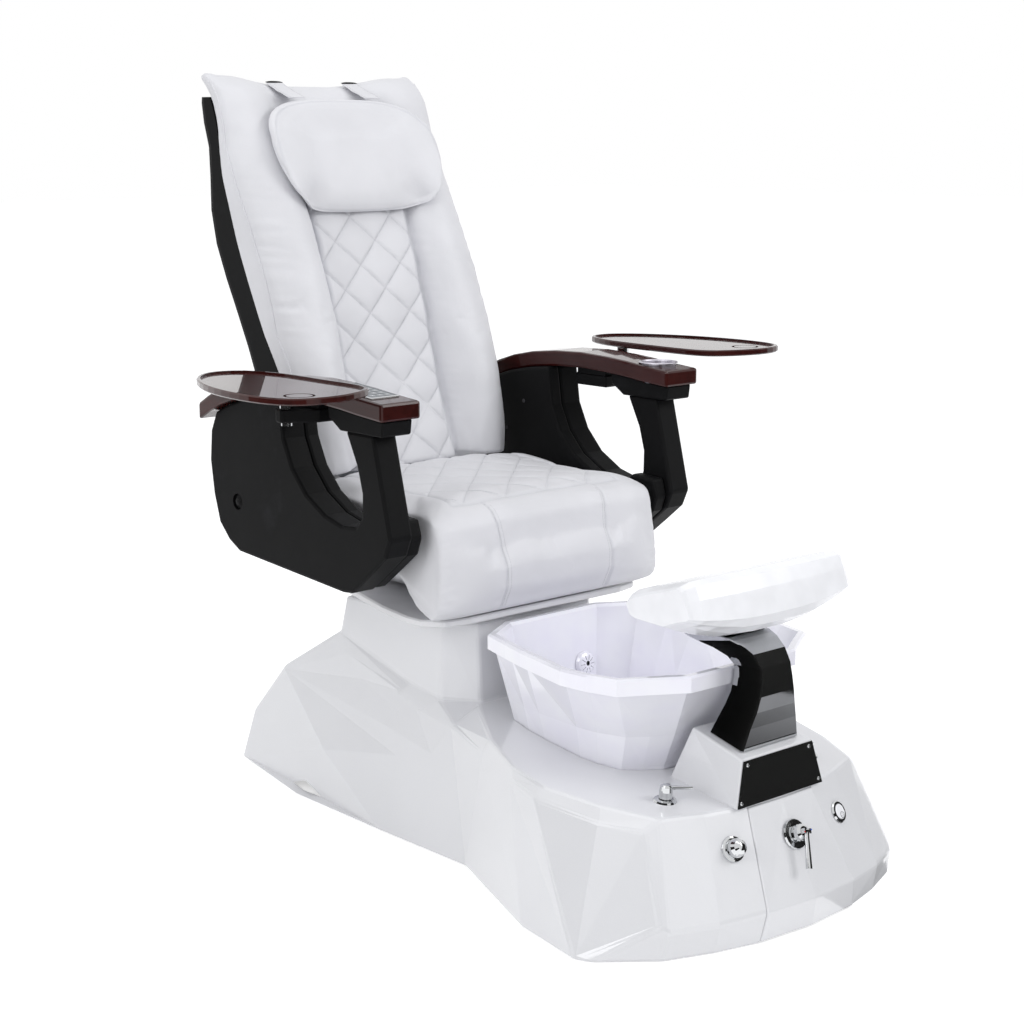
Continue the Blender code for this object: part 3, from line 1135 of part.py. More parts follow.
def make_keypad(rest):
    """Remote keypad in a chrome frame, let into the sitter's right armrest."""
    length, width, depth = KEYPAD_SIZE[1], KEYPAD_SIZE[0], KEYPAD_SIZE[2]
    x = -(REST_IN + REST_OUT) / 2
    slope = math.atan2(rest_top(KEYPAD_Y + length / 2) - rest_top(KEYPAD_Y - length / 2), length)
    z = (rest_top(KEYPAD_Y + length / 2) + rest_top(KEYPAD_Y - length / 2)) / 2
    frame = Matrix.Translation((x, KEYPAD_Y, z)) @ Matrix.Rotation(slope, 4, "X")

    def tilted(obj):
        obj.rotation_mode = "QUATERNION"
        obj.rotation_quaternion = frame.to_quaternion()
        obj.location = frame.translation
        return obj

    pocket = tilted(box("keypad_pocket", (-width / 2 - GAP, -length / 2 - GAP, -0.006 - GAP),
                        (width / 2 + GAP, length / 2 + GAP, 0.02), cutter=True))
    cut(rest, pocket)
    ring = tilted(box("keypad_frame", (-width / 2, -length / 2, -0.006), (width / 2, length / 2, 0.0032), CHROME))
    bevel(ring, 0.0012, 1, 40)
    cut(ring, tilted(box("keypad_frame_window", (-width / 2 + 0.003, -length / 2 + 0.003, -0.004),
                         (width / 2 - 0.003, length / 2 - 0.003, 0.02), cutter=True)))
    panel = tilted(box("keypad_panel", (-width / 2 + 0.0033, -length / 2 + 0.0033, -0.0037),
                       (width / 2 - 0.0033, length / 2 - 0.0033, 0.0022), KEYPAD))
    return [ring, panel]


# ---------------------------------------------------------------- back
# profiles up the back: front of the middle panel, crest of the bolsters, rear edge of the
# upholstery and the outside of the shell, as y at height z
PANEL_Y = [(0.660, 0.330), (0.700, 0.340), (0.783, 0.376), (0.900, 0.410), (1.031, 0.446), (1.120, 0.474),
           (1.210, 0.508), (1.300, 0.543), (1.400, 0.590), (1.450, 0.620), (1.480, 0.650), (1.500, 0.690)]
BOLSTER_Y = [(0.660, 0.290), (0.700, 0.300), (0.849, 0.315), (0.898, 0.322), (0.975, 0.350), (1.077, 0.388),
             (1.171, 0.430), (1.269, 0.480), (1.355, 0.530), (1.447, 0.592), (1.480, 0.628), (1.500, 0.680)]
EDGE_Y = [(0.600, 0.426), (0.660, 0.418), (0.700, 0.405), (0.760, 0.396), (0.820, 0.408), (0.895, 0.433),
          (0.960, 0.475), (1.046, 0.518), (1.133, 0.561), (1.219, 0.592), (1.298, 0.620), (1.373, 0.636),
          (1.421, 0.645), (1.455, 0.665), (1.500, 0.705)]
SHELL_Y = [(0.600, 0.462), (0.640, 0.470), (0.720, 0.486), (0.800, 0.508), (0.885, 0.546), (0.972, 0.585),
           (1.055, 0.633), (1.148, 0.677), (1.215, 0.694), (1.306, 0.694), (1.359, 0.697), (1.426, 0.722),
           (1.452, 0.716)]
BACK_STATIONS = [0.690, 0.720, 0.760, 0.810, 0.870, 0.940, 1.010, 1.080, 1.150, 1.220, 1.290, 1.350,
                 1.400, 1.440, 1.465, 1.482]
PANEL_TOP_Z = 1.400


def channel_floor(z):
    """Rear face of the quilted panel, straight between the back's stations."""
    rows = [(s, lerp_table(PANEL_Y, s) + 0.008) for s in BACK_STATIONS]
    return lerp_table(rows, z)


def rear_edge(z):
    """Rear face of the upholstery, straight between the back's stations."""
    rows = [(0.600, lerp_table(EDGE_Y, 0.600)), (0.640, lerp_table(EDGE_Y, 0.640))]
    rows += [(s, lerp_table(EDGE_Y, s)) for s in BACK_STATIONS]
    return lerp_table(rows, z) + 0.004


def seat_top(x):
    """Height of the seat cushion under the back's lower end."""
    t = min(1.0, abs(x) / (SEAT_HALF * 0.97))
    edge = max(0.0, (t - 0.80) / 0.20) ** 2
    return SEAT_TOP_Z + 0.001 + SEAT_CROWN * (1.0 - t * t) - 0.007 * edge


def cushion_front(x, z):
    """Front of the back cushion without the quilted panel."""
    t = abs(x)
    if t <= CHANNEL_HALF:
        if z > PANEL_TOP_Z + 0.001:
            return lerp_table(PANEL_Y, z) - 0.002
        return channel_floor(z)
    crest = lerp_table(BOLSTER_Y, z)
    edge = lerp_table(EDGE_Y, z)
    u = (t - CHANNEL_HALF) / (BACK_HALF - CHANNEL_HALF)
    inner = lerp_table(PANEL_Y, z) + 0.004
    if u < 0.5:
        share = math.sin(math.pi * min(1.0, u / 0.46) / 2)
        return inner + (crest - inner) * share
    drop = (u - 0.5) / 0.5
    return crest + (min(edge - 0.045, crest + 0.070) - crest) * drop ** 2.4


def make_back_cushion(back):
    """Upholstered back: a loft of crowned sections with two bolsters and a channel between."""
    xs = [0.0, 0.070, CHANNEL_HALF - 0.0005, CHANNEL_HALF + 0.003, 0.145, 0.170, 0.200, 0.230, 0.255, 0.271]
    rings = []
    stations = BACK_STATIONS + [BACK_TOP_Z - 0.004]
    for z in stations:
        tip = max(0.0, (z - BACK_TIP_Z) / (stations[-1] - BACK_TIP_Z))
        half = []
        foot = z == BACK_STATIONS[0]
        for x in xs:
            here = seat_top(x) + 0.0025 if foot else z
            rear = rear_edge(here)
            y = cushion_front(x, here)
            y = y + (rear - 0.014 - y) * 0.55 * tip * tip
            half.append((x, y, here - 0.014 * tip * (1 - min(1.0, x / 0.26) ** 2)))
        edge_drop = 0.004 * tip
        for x, back_off, sink in ((BACK_HALF, 0.030, edge_drop), (BACK_HALF + 0.001, 0.012, edge_drop),
                                  (BACK_HALF - 0.004, 0.0, edge_drop), (0.180, 0.0, 0.004 * tip),
                                  (0.0, 0.0, 0.012 * tip)):
            here = seat_top(min(x, BACK_HALF)) + 0.0025 if foot else z
            half.append((x, rear_edge(here) - back_off, here - sink))
        rings.append(mirrored(half))
    cushion = stack("back_cushion", rings, LEATHER, smooth=50)
    carry(back, cushion)


def make_quilted_panel(back):
    """Diamond-quilted panel between the bolsters, puffed between its stitch lines."""
    low, high, rows, columns = 0.700, PANEL_TOP_Z, 56, 14
    half = CHANNEL_HALF - 0.0012
    rings = []
    for row in range(rows + 1):
        z = low + (high - low) * row / rows
        back_y = channel_floor(z) - GAP
        front = lerp_table(PANEL_Y, z)
        ends = min(1.0, min(z - low, high - z) / 0.010)
        ring = []
        for column in range(columns + 1):
            x = half - 2 * half * column / columns
            across = (x + QUILT_START[0]) / QUILT_PITCH_X
            up = (z - QUILT_START[1]) / QUILT_PITCH_Z
            a = abs(math.sin(math.pi * (across + up) / 2))
            b = abs(math.sin(math.pi * (across - up) / 2))
            puff = QUILT_PUFF * min(1.0, 1.6 * a * b) * ends
            side_drop = 0.004 * (abs(x) / half) ** 8
            ring.append((x, front - puff + side_drop, z))
        ring += [(-half, back_y, z), (0.0, back_y, z), (half, back_y, z)]
        rings.append(ring)
    carry(back, stack("back_quilt_panel", rings, LEATHER, smooth=60))


def make_pillow(back):
    """Head pillow: broad at the top, narrower below, crowned in front, lying on the bolsters."""
    low, high, count = 1.213, 1.448, 13
    widths = [(0.0, 0.110), (0.04, 0.140), (0.10, 0.160), (0.25, 0.186), (0.5, 0.212), (0.72, 0.219),
              (0.86, 0.206), (0.94, 0.180), (1.0, 0.120)]
    rings = []
    for row in range(count):
        share = (1 - math.cos(math.pi * row / (count - 1))) / 2
        z = low + (high - low) * share
        width = lerp_table(widths, share)
        body = math.sqrt(max(0.0, 1 - abs(2 * share - 1) ** 2.6))
        plane = 0.4981 + (z - low) * 0.262
        ring = []
        for k in range(13):
            x = width * math.cos(math.pi * k / 12)
            bulge = math.sqrt(max(0.0, 1 - abs(x / width) ** 3.2))
            thick = 0.003 + 0.030 * body * bulge
            rear = min(plane + 0.052, cushion_clear(x, z))
            ring.append((x, min(plane + 0.022 - thick * 0.9, rear - 0.012 - 0.012 * body * bulge), z))
        for k in range(1, 12):
            x = -width * math.cos(math.pi * k / 12)
            bulge = math.sqrt(max(0.0, 1 - abs(x / width) ** 3.2))
            rear = min(plane + 0.024 + 0.020 * body * bulge, cushion_clear(x, z))
            ring.append((x, rear, z))
        rings.append(ring)
    carry(back, stack("head_pillow", rings, LEATHER, smooth=60))


def cushion_clear(x, z):
    """Most rearward place for the pillow at (x, z): just off the cushion below it."""
    near = [cushion_front(x + dx, z + dz) for dx in (-0.012, 0.0, 0.012) for dz in (-0.016, 0.0, 0.016)]
    if abs(x) < CHANNEL_HALF + 0.015:
        near += [lerp_table(PANEL_Y, z + dz) - QUILT_PUFF for dz in (-0.016, 0.0, 0.016)]
    return min(near) - 0.0020


STRAP_X = 0.100
STRAP_HALF = 0.021


def make_straps(back):
    """Two webbing straps from the pillow up to the slots near the top of the back."""
    for side in (-1, 1):
        x = side * STRAP_X
        route = [(0.5815, 1.4495), (0.6300, 1.4663), (0.6500, 1.4751), (0.6720, 1.4840)]
        thick = 0.0022
        outer, inner = [], []
        for i, (y, z) in enumerate(route):
            before = Vector(route[max(0, i - 1)])
            after = Vector(route[min(len(route) - 1, i + 1)])
            along = (after - before).normalized()
            normal = Vector((-along.y, along.x))
            outer.append(Vector((y, z)) + normal * thick / 2)
            inner.append(Vector((y, z)) - normal * thick / 2)
        ring = [tuple(p) for p in outer] + [tuple(p) for p in reversed(inner)]
        carry(back, slab(side_name(side) + "_pillow_strap", ring, x - STRAP_HALF, x + STRAP_HALF, LEATHER))


def make_back_shell(back):
    """Black rear shell: a trough of U sections, thickened by Solidify."""
    zs = [SHELL_FOOT_Z, SHELL_FOOT_Z + 0.040] + [z for z in BACK_STATIONS if z < SHELL_HEAD_Z - 0.007]
    zs.append(SHELL_HEAD_Z)
    bm = bmesh.new()
    layers = []
    for z in zs:
        rim = rear_edge(z) + 2 * GAP
        deep = lerp_table(SHELL_Y, z)
        corner = min(0.030, (deep - rim) * 0.6)
        half = []
        for k in range(5):
            angle = math.pi / 2 * k / 4
            half.append((SHELL_HALF - corner + corner * math.sin(angle),
                         deep - corner + corner * math.cos(angle)))
        ring = [(0.0, deep + 0.006), (0.130, deep + 0.004)] + half + [(SHELL_HALF, rim)]
        full = [(-x, y) for x, y in reversed(ring[1:])] + ring
        layers.append([bm.verts.new((x, y, z)) for x, y in full])
    for lower, upper in zip(layers[:-1], layers[1:]):
        for i in range(len(lower) - 1):
            bm.faces.new((lower[i], upper[i], upper[i + 1], lower[i + 1]))
    mesh = bpy.data.meshes.new("back_shell")
    bmesh.ops.recalc_face_normals(bm, faces=bm.faces)
    probe = bm.faces[len(bm.faces) // 2]
    if probe.normal.y < 0:
        bmesh.ops.reverse_faces(bm, faces=bm.faces)
    bm.to_mesh(mesh)
    bm.free()
    mesh.shade_smooth()
    mesh.set_sharp_from_angle(angle=math.radians(40))
    shell = link("back_shell", mesh, BLACK)
    wall = shell.modifiers.new("wall", "SOLIDIFY")
    wall.thickness = SHELL_WALL
    wall.offset = -1.0
    wall.use_even_offset = True
    carry(back, shell)
    return shell


RAIL_LOW = Vector((0.448, 0.800))
RAIL_HIGH = Vector((0.640, 1.230))


def make_back_frame(back):
    """Hinge frame at the foot of the back, with lugs round the shaft, and the massage rails."""
    frame = box("back_frame", (-SHELL_HALF + SHELL_WALL + GAP, 0.4300, 0.6320),
                (SHELL_HALF - SHELL_WALL - GAP, 0.4380, 0.6780), STEEL)
    for side in (-1, 1):
        low, high = sorted((side * 0.190, side * 0.204))
        lug = slab("back_lug_" + side_name(side),
                   [(0.434, 0.636), (0.434, 0.674), (0.412, 0.676), (0.388, 0.673), (0.380, 0.654),
                    (0.388, 0.635), (0.412, 0.632)], low, high, cutter=True)
        fuse(frame, lug)
        low, high = sorted((side * (BRACKET_IN - 0.004), side * (BRACKET_OUT + 0.004)))
        cut(frame, box("bracket_notch_" + side_name(side), (low, 0.420, 0.620), (high, 0.450, 0.652),
                       cutter=True))
        cut(frame, rod("back_lug_bore_" + side_name(side), (side * 0.17, PIVOT_Y, PIVOT_Z),
                       (side * 0.22, PIVOT_Y, PIVOT_Z), SHAFT_R + RUN, cutter=True, sides=28))
    carry(back, frame)
    along = (RAIL_HIGH - RAIL_LOW).normalized()
    tilt = math.atan2(along.y, along.x) - math.pi / 2
    middle = RAIL_LOW.lerp(RAIL_HIGH, 0.5)
    reach = (RAIL_HIGH - RAIL_LOW).length / 2
    wide = SHELL_HALF - SHELL_WALL - GAP
    rails = box("massage_rails", (-wide, -0.010, -reach - 0.012), (wide, 0.010, -reach + 0.008), STEEL)
    fuse(rails, box("upper_rail_bar", (-wide, -0.010, reach - 0.008), (wide, 0.010, reach + 0.012),
                    cutter=True))
    parts = [rails, bpy.data.objects["upper_rail_bar"]]
    for side in (-1, 1):
        rail = rod("massage_rail_" + side_name(side), (side * RAIL_X, 0, -reach), (side * RAIL_X, 0, reach),
                   RAIL_R, cutter=True, sides=16)
        fuse(rails, rail)
        parts.append(rail)
    for piece in parts:
        piece.rotation_euler = (tilt, 0, 0)
        piece.location = (0.0, middle.x, middle.y)
    carry(back, rails)


def make_massage_unit(back):
    """Massage carriage on its rails, with a pair of rollers on a shaft."""
    along = (RAIL_HIGH - RAIL_LOW).normalized()
    at = RAIL_LOW.lerp(RAIL_HIGH, 0.5)
    unit = pivot("massage_axis", (0.0, at.x, at.y), back)
    tilt = math.atan2(along.y, along.x) - math.pi / 2
    carriage = box("massage_carriage", (-0.098, -0.016, -0.045), (0.098, 0.016, 0.045), DARK)
    bevel(carriage, 0.003, 1, 40)
    carriage.rotation_euler = (tilt, 0, 0)
    carriage.location = (0.0, at.x, at.y)
    for side in (-1, 1):
        bore = rod("carriage_bore_" + side_name(side), (side * RAIL_X, 0, -0.08), (side * RAIL_X, 0, 0.08),
                   RAIL_R + RUN, cutter=True, sides=16)
        bore.rotation_euler = (tilt, 0, 0)
        bore.location = (0.0, at.x, at.y)
        cut(carriage, bore)
    carry(unit, carriage)
    return at, along


def main():
    shell = make_base_shell()
    make_access_panel(shell)
    make_basin()
    make_basin_fittings()
    make_front_plate()
    make_footrest()
    make_front_controls()
    make_valves()
    make_slide()
    seat = pivot("seat_slide_axis", (0.0, 0.0, PAN_Z))
    make_seat_frame(seat)
    make_seat_cushion(seat)
    for side in (-1, 1):
        make_arm(side, seat)
    back = pivot("back_recline_axis", (0.0, PIVOT_Y, PIVOT_Z), seat)
    make_back_cushion(back)
    make_quilted_panel(back)
    make_pillow(back)
    make_straps(back)
    make_back_shell(back)
    make_back_frame(back)
    make_massage_unit(back)


main()
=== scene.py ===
"""Pedicure spa chair: finishes, upholstery and small trim laid over the chair's frame."""
import math
import random

import bmesh
import bpy
import numpy as np
from bpy.props import FloatProperty, FloatVectorProperty, PointerProperty
from mathutils import Matrix, Vector
from mathutils.bvhtree import BVHTree


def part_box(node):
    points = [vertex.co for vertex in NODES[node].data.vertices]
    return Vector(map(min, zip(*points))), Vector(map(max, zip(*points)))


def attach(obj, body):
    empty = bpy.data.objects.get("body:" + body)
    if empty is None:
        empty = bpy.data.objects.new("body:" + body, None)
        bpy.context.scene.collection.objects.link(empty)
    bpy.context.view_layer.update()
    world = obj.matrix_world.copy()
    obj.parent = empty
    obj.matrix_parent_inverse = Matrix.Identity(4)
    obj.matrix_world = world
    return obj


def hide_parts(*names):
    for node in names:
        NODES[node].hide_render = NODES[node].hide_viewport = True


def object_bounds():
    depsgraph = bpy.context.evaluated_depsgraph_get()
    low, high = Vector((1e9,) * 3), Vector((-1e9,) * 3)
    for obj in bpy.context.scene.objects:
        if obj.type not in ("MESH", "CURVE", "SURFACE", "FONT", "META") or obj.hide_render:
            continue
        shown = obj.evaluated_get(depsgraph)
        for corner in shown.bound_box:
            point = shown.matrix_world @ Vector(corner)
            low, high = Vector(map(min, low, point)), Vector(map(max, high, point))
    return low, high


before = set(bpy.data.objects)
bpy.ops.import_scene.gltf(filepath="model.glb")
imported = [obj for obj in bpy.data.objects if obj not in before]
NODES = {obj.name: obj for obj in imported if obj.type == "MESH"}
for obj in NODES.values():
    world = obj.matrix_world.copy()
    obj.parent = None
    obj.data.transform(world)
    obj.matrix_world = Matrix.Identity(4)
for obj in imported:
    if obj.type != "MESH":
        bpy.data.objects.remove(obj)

bl_info = {
    "name": "Pedicure Spa Chair",
    "version": (1, 0, 0),
    "blender": (4, 5, 0),
    "location": "3D View > Sidebar > Spa Chair",
    "description": "Dresses the frame of a pedicure spa chair: leather, lacquer, chrome and mouldings",
    "category": "Object",
}

CAD_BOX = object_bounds()
SIDES = (("right", -1), ("left", 1))
GAP = 0.0004                # what is laid on a surface starts this far off it


# ---------------------------------------------------------------- shader values
class Socket:
    """A value in a tree of nodes that Python sums can use."""

    def __init__(self, nodes, output):
        self.nodes = nodes
        self.output = output

    def sum(self, operation, first, second):
        return self.nodes.read("ShaderNodeMath", {"operation": operation}, {0: first, 1: second})

    def __add__(self, other):
        return self.sum("ADD", self, other)

    def __radd__(self, other):
        return self.sum("ADD", other, self)

    def __sub__(self, other):
        return self.sum("SUBTRACT", self, other)

    def __rsub__(self, other):
        return self.sum("SUBTRACT", other, self)

    def __mul__(self, other):
        return self.sum("MULTIPLY", self, other)

    def __rmul__(self, other):
        return self.sum("MULTIPLY", other, self)

    def step(self, low, high):
        """0 below low, 1 above high and smooth between them."""
        return self.nodes.read("ShaderNodeMapRange", {"interpolation_type": "SMOOTHSTEP"},
                               {"Value": self, "From Min": low, "From Max": high})


class Nodes:
    """The nodes of one material or of the world, emptied to begin with."""

    def __init__(self, owner):
        owner.use_nodes = True
        self.tree = owner.node_tree
        self.tree.nodes.clear()

    def node(self, kind, settings=None, inputs=None):
        """Any node: its type, its settings, then the values or links of its sockets."""
        made = self.tree.nodes.new(kind)
        for word, value in (settings or {}).items():
            if word == "stops":
                ramp = made.color_ramp
                for index, (spot, colour) in enumerate(value):
                    stop = ramp.elements[index] if index < 2 else ramp.elements.new(spot)
                    stop.position = spot
                    stop.color = (*colour, 1.0)
            else:
                setattr(made, word, value)
        for word, value in (inputs or {}).items():
            if isinstance(value, Socket):
                self.tree.links.new(value.output, made.inputs[word])
            else:
                made.inputs[word].default_value = value
        return made

    def read(self, kind, settings=None, inputs=None, output=0):
        """The same, giving one of its outputs."""
        return Socket(self, self.node(kind, settings, inputs).outputs[output])


class Finish(Nodes):
    """One material: a Principled surface and the nodes that feed it."""

    def __init__(self, name, **constants):
        self.material = bpy.data.materials.new(name)
        super().__init__(self.material)
        self.surface = self.node("ShaderNodeBsdfPrincipled")
        for word, value in constants.items():
            self.surface.inputs[word.replace("_", " ")].default_value = value
        self.shaded = Socket(self, self.surface.outputs[0])
        self.end = self.node("ShaderNodeOutputMaterial", inputs={"Surface": self.shaded})
        self.place = self.read("ShaderNodeTexCoord", output="Object")

    def feed(self, word, value):
        """Link a varying value to one of the surface's sockets."""
        self.tree.links.new(value.output, self.surface.inputs[word])

    def stretched(self, x, y, z):
        """The surface's place, scaled by its own amount along each axis."""
        return self.read("ShaderNodeVectorMath", {"operation": "MULTIPLY"},
                         {0: self.place, 1: (x, y, z)})

    def noise(self, scale, detail=2.0, where=None, rough=0.5, twist=0.0):
        return self.read("ShaderNodeTexNoise", None,
                         {"Vector": where or self.place, "Scale": scale, "Detail": detail,
                          "Roughness": rough, "Distortion": twist})

    def cells(self, scale, feature="F1"):
        return self.read("ShaderNodeTexVoronoi", {"feature": feature},
                         {"Vector": self.place, "Scale": scale, "Randomness": 1.0})

    def tint(self, first, second, share):
        """One colour or the other, by a value from 0 to 1."""
        return self.read("ShaderNodeMix", {"data_type": "RGBA"},
                         {0: share, 6: first, 7: second}, output=2)

    def part(self, word, vector):
        """One of a vector's numbers, X, Y or Z."""
        return self.read("ShaderNodeSeparateXYZ", None, {0: vector}, output=word)

    def mark(self, word):
        """A value that the mesh itself carries at its vertices."""
        return self.read("ShaderNodeAttribute", {"attribute_name": word}, output="Fac")

    def relief(self, height, distance, strength=1.0):
        """Bump of that height, in metres, on the surface."""
        self.feed("Normal", self.read("ShaderNodeBump", None,
                                      {"Height": height, "Distance": distance, "Strength": strength}))


def rgba(colour, factor=1.0):
    """A colour with full alpha, made lighter or darker by a factor."""
    return (*(min(1.0, c * factor) for c in colour[:3]), 1.0)


# ---------------------------------------------------------------- finishes
def leather_finish(name, colour, grain=1.0):
    """Soft synthetic leather: pebbled grain, slow tone change, and painted shade that darkens seams and
    creases.
    """
    made = Finish(name, Specular_IOR_Level=0.42, Sheen_Weight=0.12, Sheen_Roughness=0.45)
    slow = made.noise(7.0, 3.0)
    crease_shade = made.mark("crease_shade")
    shade = made.tint(rgba(colour), rgba(colour, 0.955), slow.step(0.38, 0.66))
    # painted shade: the value the mesh carries darkens the colour in seams, creases and stitch lines
    made.feed("Base Color", made.tint(shade, rgba((colour[0] * 0.70, colour[1] * 0.71, colour[2] * 0.74)),
                                      crease_shade * 0.75))
    pebbles = made.cells(720.0, feature="SMOOTH_F1")
    folds = made.noise(55.0, 4.0, rough=0.55, twist=0.6)
    made.feed("Roughness", 0.40 + 0.10 * made.noise(26.0, 3.0) + 0.10 * pebbles)
    made.relief(pebbles * 0.35 + folds * 1.1, 0.00055 * grain, 0.55)
    return made.material


def moulding_finish(name, colour):
    """Pearl gloss moulding: fine flake under the lacquer and the faintest orange peel."""
    made = Finish(name, Specular_IOR_Level=0.5, Coat_Roughness=0.06, Coat_IOR=1.5)
    flake = made.cells(1500.0)
    cloud = made.noise(3.0, 2.0)
    base = made.tint(rgba(colour), rgba(colour, 0.965), cloud.step(0.35, 0.7))
    made.feed("Base Color", made.tint(base, rgba(colour, 1.07), flake.step(0.55, 0.9) * 0.55))
    made.feed("Roughness", 0.26 + 0.07 * made.noise(40.0, 3.0))
    made.feed("Coat Weight", 0.55 + 0.15 * made.noise(9.0, 2.0))
    made.relief(made.noise(130.0, 2.0), 0.00022, 0.35)
    return made.material


def acrylic_finish(name, colour):
    """Vacuum-formed acrylic: wet gloss with a slow waviness."""
    made = Finish(name, Specular_IOR_Level=0.55, Coat_Roughness=0.03, Coat_IOR=1.5)
    wave = made.noise(14.0, 2.0)
    made.feed("Base Color", made.tint(rgba(colour), rgba((colour[0] * 0.965, colour[1] * 0.955,
                                                          colour[2] * 0.99)), wave.step(0.3, 0.75)))
    made.feed("Roughness", 0.10 + 0.06 * made.noise(60.0, 2.0))
    made.feed("Coat Weight", 0.75 + 0.2 * made.noise(5.0, 1.0))
    made.relief(wave, 0.0010, 0.22)
    return made.material


def black_finish(name, colour, gloss=0.0):
    """Matt black moulded plastic with a spark-eroded grain and pale rubbed spots."""
    made = Finish(name, Specular_IOR_Level=0.10)
    grain = made.cells(820.0)
    fine = made.noise(1500.0, 2.0)
    rub = made.noise(11.0, 5.0, rough=0.62)
    made.feed("Base Color", made.tint(rgba(colour), rgba((colour[0] + 0.007, colour[1] + 0.007,
                                                          colour[2] + 0.008)), rub.step(0.56, 0.78)))
    made.feed("Roughness", (0.47 - gloss) + 0.12 * rub + 0.06 * fine)
    made.relief(grain * 0.7 + fine * 0.4, 0.00022, 0.65)
    return made.material


def lacquer_finish(name, colour):
    """Dark mahogany under thick clear lacquer: long grain, ribbon figure and pores."""
    made = Finish(name, Specular_IOR_Level=0.10, Coat_Roughness=0.02, Coat_IOR=1.30)
    along = made.stretched(34.0, 2.6, 34.0)
    sway = made.noise(1.0, 4.0, where=along, rough=0.6, twist=0.8)
    ribbon = made.noise(2.3, 2.0, where=made.stretched(9.0, 1.4, 9.0))
    pores = made.noise(9.0, 3.0, where=made.stretched(110.0, 6.0, 110.0), rough=0.7)
    grain = made.read("ShaderNodeValToRGB", {"stops": (
        (0.28, tuple(c * 0.42 for c in colour)), (0.72, tuple(c * 1.25 for c in colour)),
        (0.50, tuple(colour)))}, {"Fac": sway * 0.75 + ribbon * 0.25})
    made.feed("Base Color", made.tint(grain, rgba(colour, 0.30), pores.step(0.58, 0.72) * 0.6))
    made.feed("Roughness", 0.30 + 0.10 * sway)
    made.feed("Coat Weight", 0.95 + 0.05 * ribbon)
    made.relief(made.noise(24.0, 1.0), 0.0005, 0.10)
    return made.material


def metal_finish(name, colour, rough, streak=(1.0, 1.0, 1.0), depth=0.00004):
    """Metal: polish marks or brushing along one way, with faint fingermarks."""
    made = Finish(name, Metallic=1.0)
    line = made.noise(60.0, 4.0, where=made.stretched(*streak), rough=0.65)
    smear = made.noise(16.0, 4.0, rough=0.6, twist=0.4)
    made.feed("Base Color", made.tint(rgba(colour), rgba(colour, 0.90), smear.step(0.45, 0.8)))
    made.feed("Roughness", rough + (0.6 * rough) * line + 0.035 * smear.step(0.5, 0.75))
    made.relief(line, depth, 0.5)
    return made.material


def plain_gloss_finish(name, colour, rough):
    """Small gloss moulding with a trace of sink and dust."""
    made = Finish(name, Specular_IOR_Level=0.5, Coat_Roughness=0.05, Coat_Weight=0.4)
    dust = made.noise(400.0, 3.0)
    sink = made.noise(18.0, 2.0)
    made.feed("Base Color", made.tint(rgba(colour), rgba(colour, 0.94), sink.step(0.35, 0.75)))
    made.feed("Roughness", rough + 0.10 * dust.step(0.5, 0.8) + 0.04 * sink)
    made.relief(sink, 0.0005, 0.15)
    return made.material


def speckle_finish(name, colour):
    """Printed membrane: grey film with fine pale and dark specks."""
    made = Finish(name, Specular_IOR_Level=0.45)
    light = made.cells(1900.0)
    dark = made.cells(2600.0)
    base = made.tint(rgba(colour), rgba(colour, 2.1), light.step(0.62, 0.85))
    made.feed("Base Color", made.tint(base, rgba(colour, 0.35), dark.step(0.6, 0.85)))
    made.feed("Roughness", 0.34 + 0.1 * made.noise(300.0, 2.0))
    made.relief(light, 0.00008, 0.3)
    return made.material


def thread_finish(name, colour):
    """Twisted sewing thread."""
    made = Finish(name, Specular_IOR_Level=0.3, Sheen_Weight=0.3)
    twist = made.noise(2200.0, 1.0)
    made.feed("Base Color", made.tint(rgba(colour), rgba(colour, 0.82), twist.step(0.4, 0.65)))
    made.feed("Roughness", 0.55 + 0.2 * twist)
    made.relief(twist, 0.0002, 0.6)
    return made.material


# ---------------------------------------------------------------- making pieces
def shown_mesh(name, mesh, material, body):
    """A new piece from a mesh, riding on a body."""
    piece = bpy.data.objects.new(name, mesh)
    bpy.context.scene.collection.objects.link(piece)
    mesh.materials.clear()
    mesh.materials.append(material)
    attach(piece, body)
    return piece


def smooth(mesh, angle=40.0):
    """Smooth shading with crisp edges past the angle, in degrees."""
    mesh.polygons.foreach_set("use_smooth", [True] * len(mesh.polygons))
    mesh.set_sharp_from_angle(angle=math.radians(angle))


def from_bmesh(bm, name, angle=40.0):
    """A shaded mesh from a bmesh, with its faces turned outward."""
    bmesh.ops.recalc_face_normals(bm, faces=bm.faces[:])
    mesh = bpy.data.meshes.new(name)
    bm.to_mesh(mesh)
    bm.free()
    smooth(mesh, angle)
    return mesh


def shown(name, bm, material, body, angle=40.0):
    """A new piece from a bmesh, shaded, with its faces turned outward."""
    return shown_mesh(name, from_bmesh(bm, name, angle), material, body)


def turn_to(axis):
    """The rotation that takes +Z to the axis."""
    return Vector((0, 0, 1)).rotation_difference(Vector(axis)).to_matrix().to_4x4()


def spin(bm, profile, place, sides=32):
    """Add a turned form to a bmesh: (radius, height) points about the local Z of a placing matrix."""
    rings = []
    for radius, height in profile:
        if radius < 1e-7:
            rings.append([bm.verts.new(place @ Vector((0, 0, height)))])
            continue
        rings.append([bm.verts.new(place @ Vector((radius * math.cos(math.tau * k / sides),
                                                   radius * math.sin(math.tau * k / sides), height)))
                      for k in range(sides)])
    for low, high in zip(rings, rings[1:]):
        for k in range(sides):
            n = (k + 1) % sides
            loop = [low[k % len(low)], low[n % len(low)], high[n % len(high)], high[k % len(high)]]
            corners = list(dict.fromkeys(loop))
            if len(corners) > 2:
                bm.faces.new(corners)


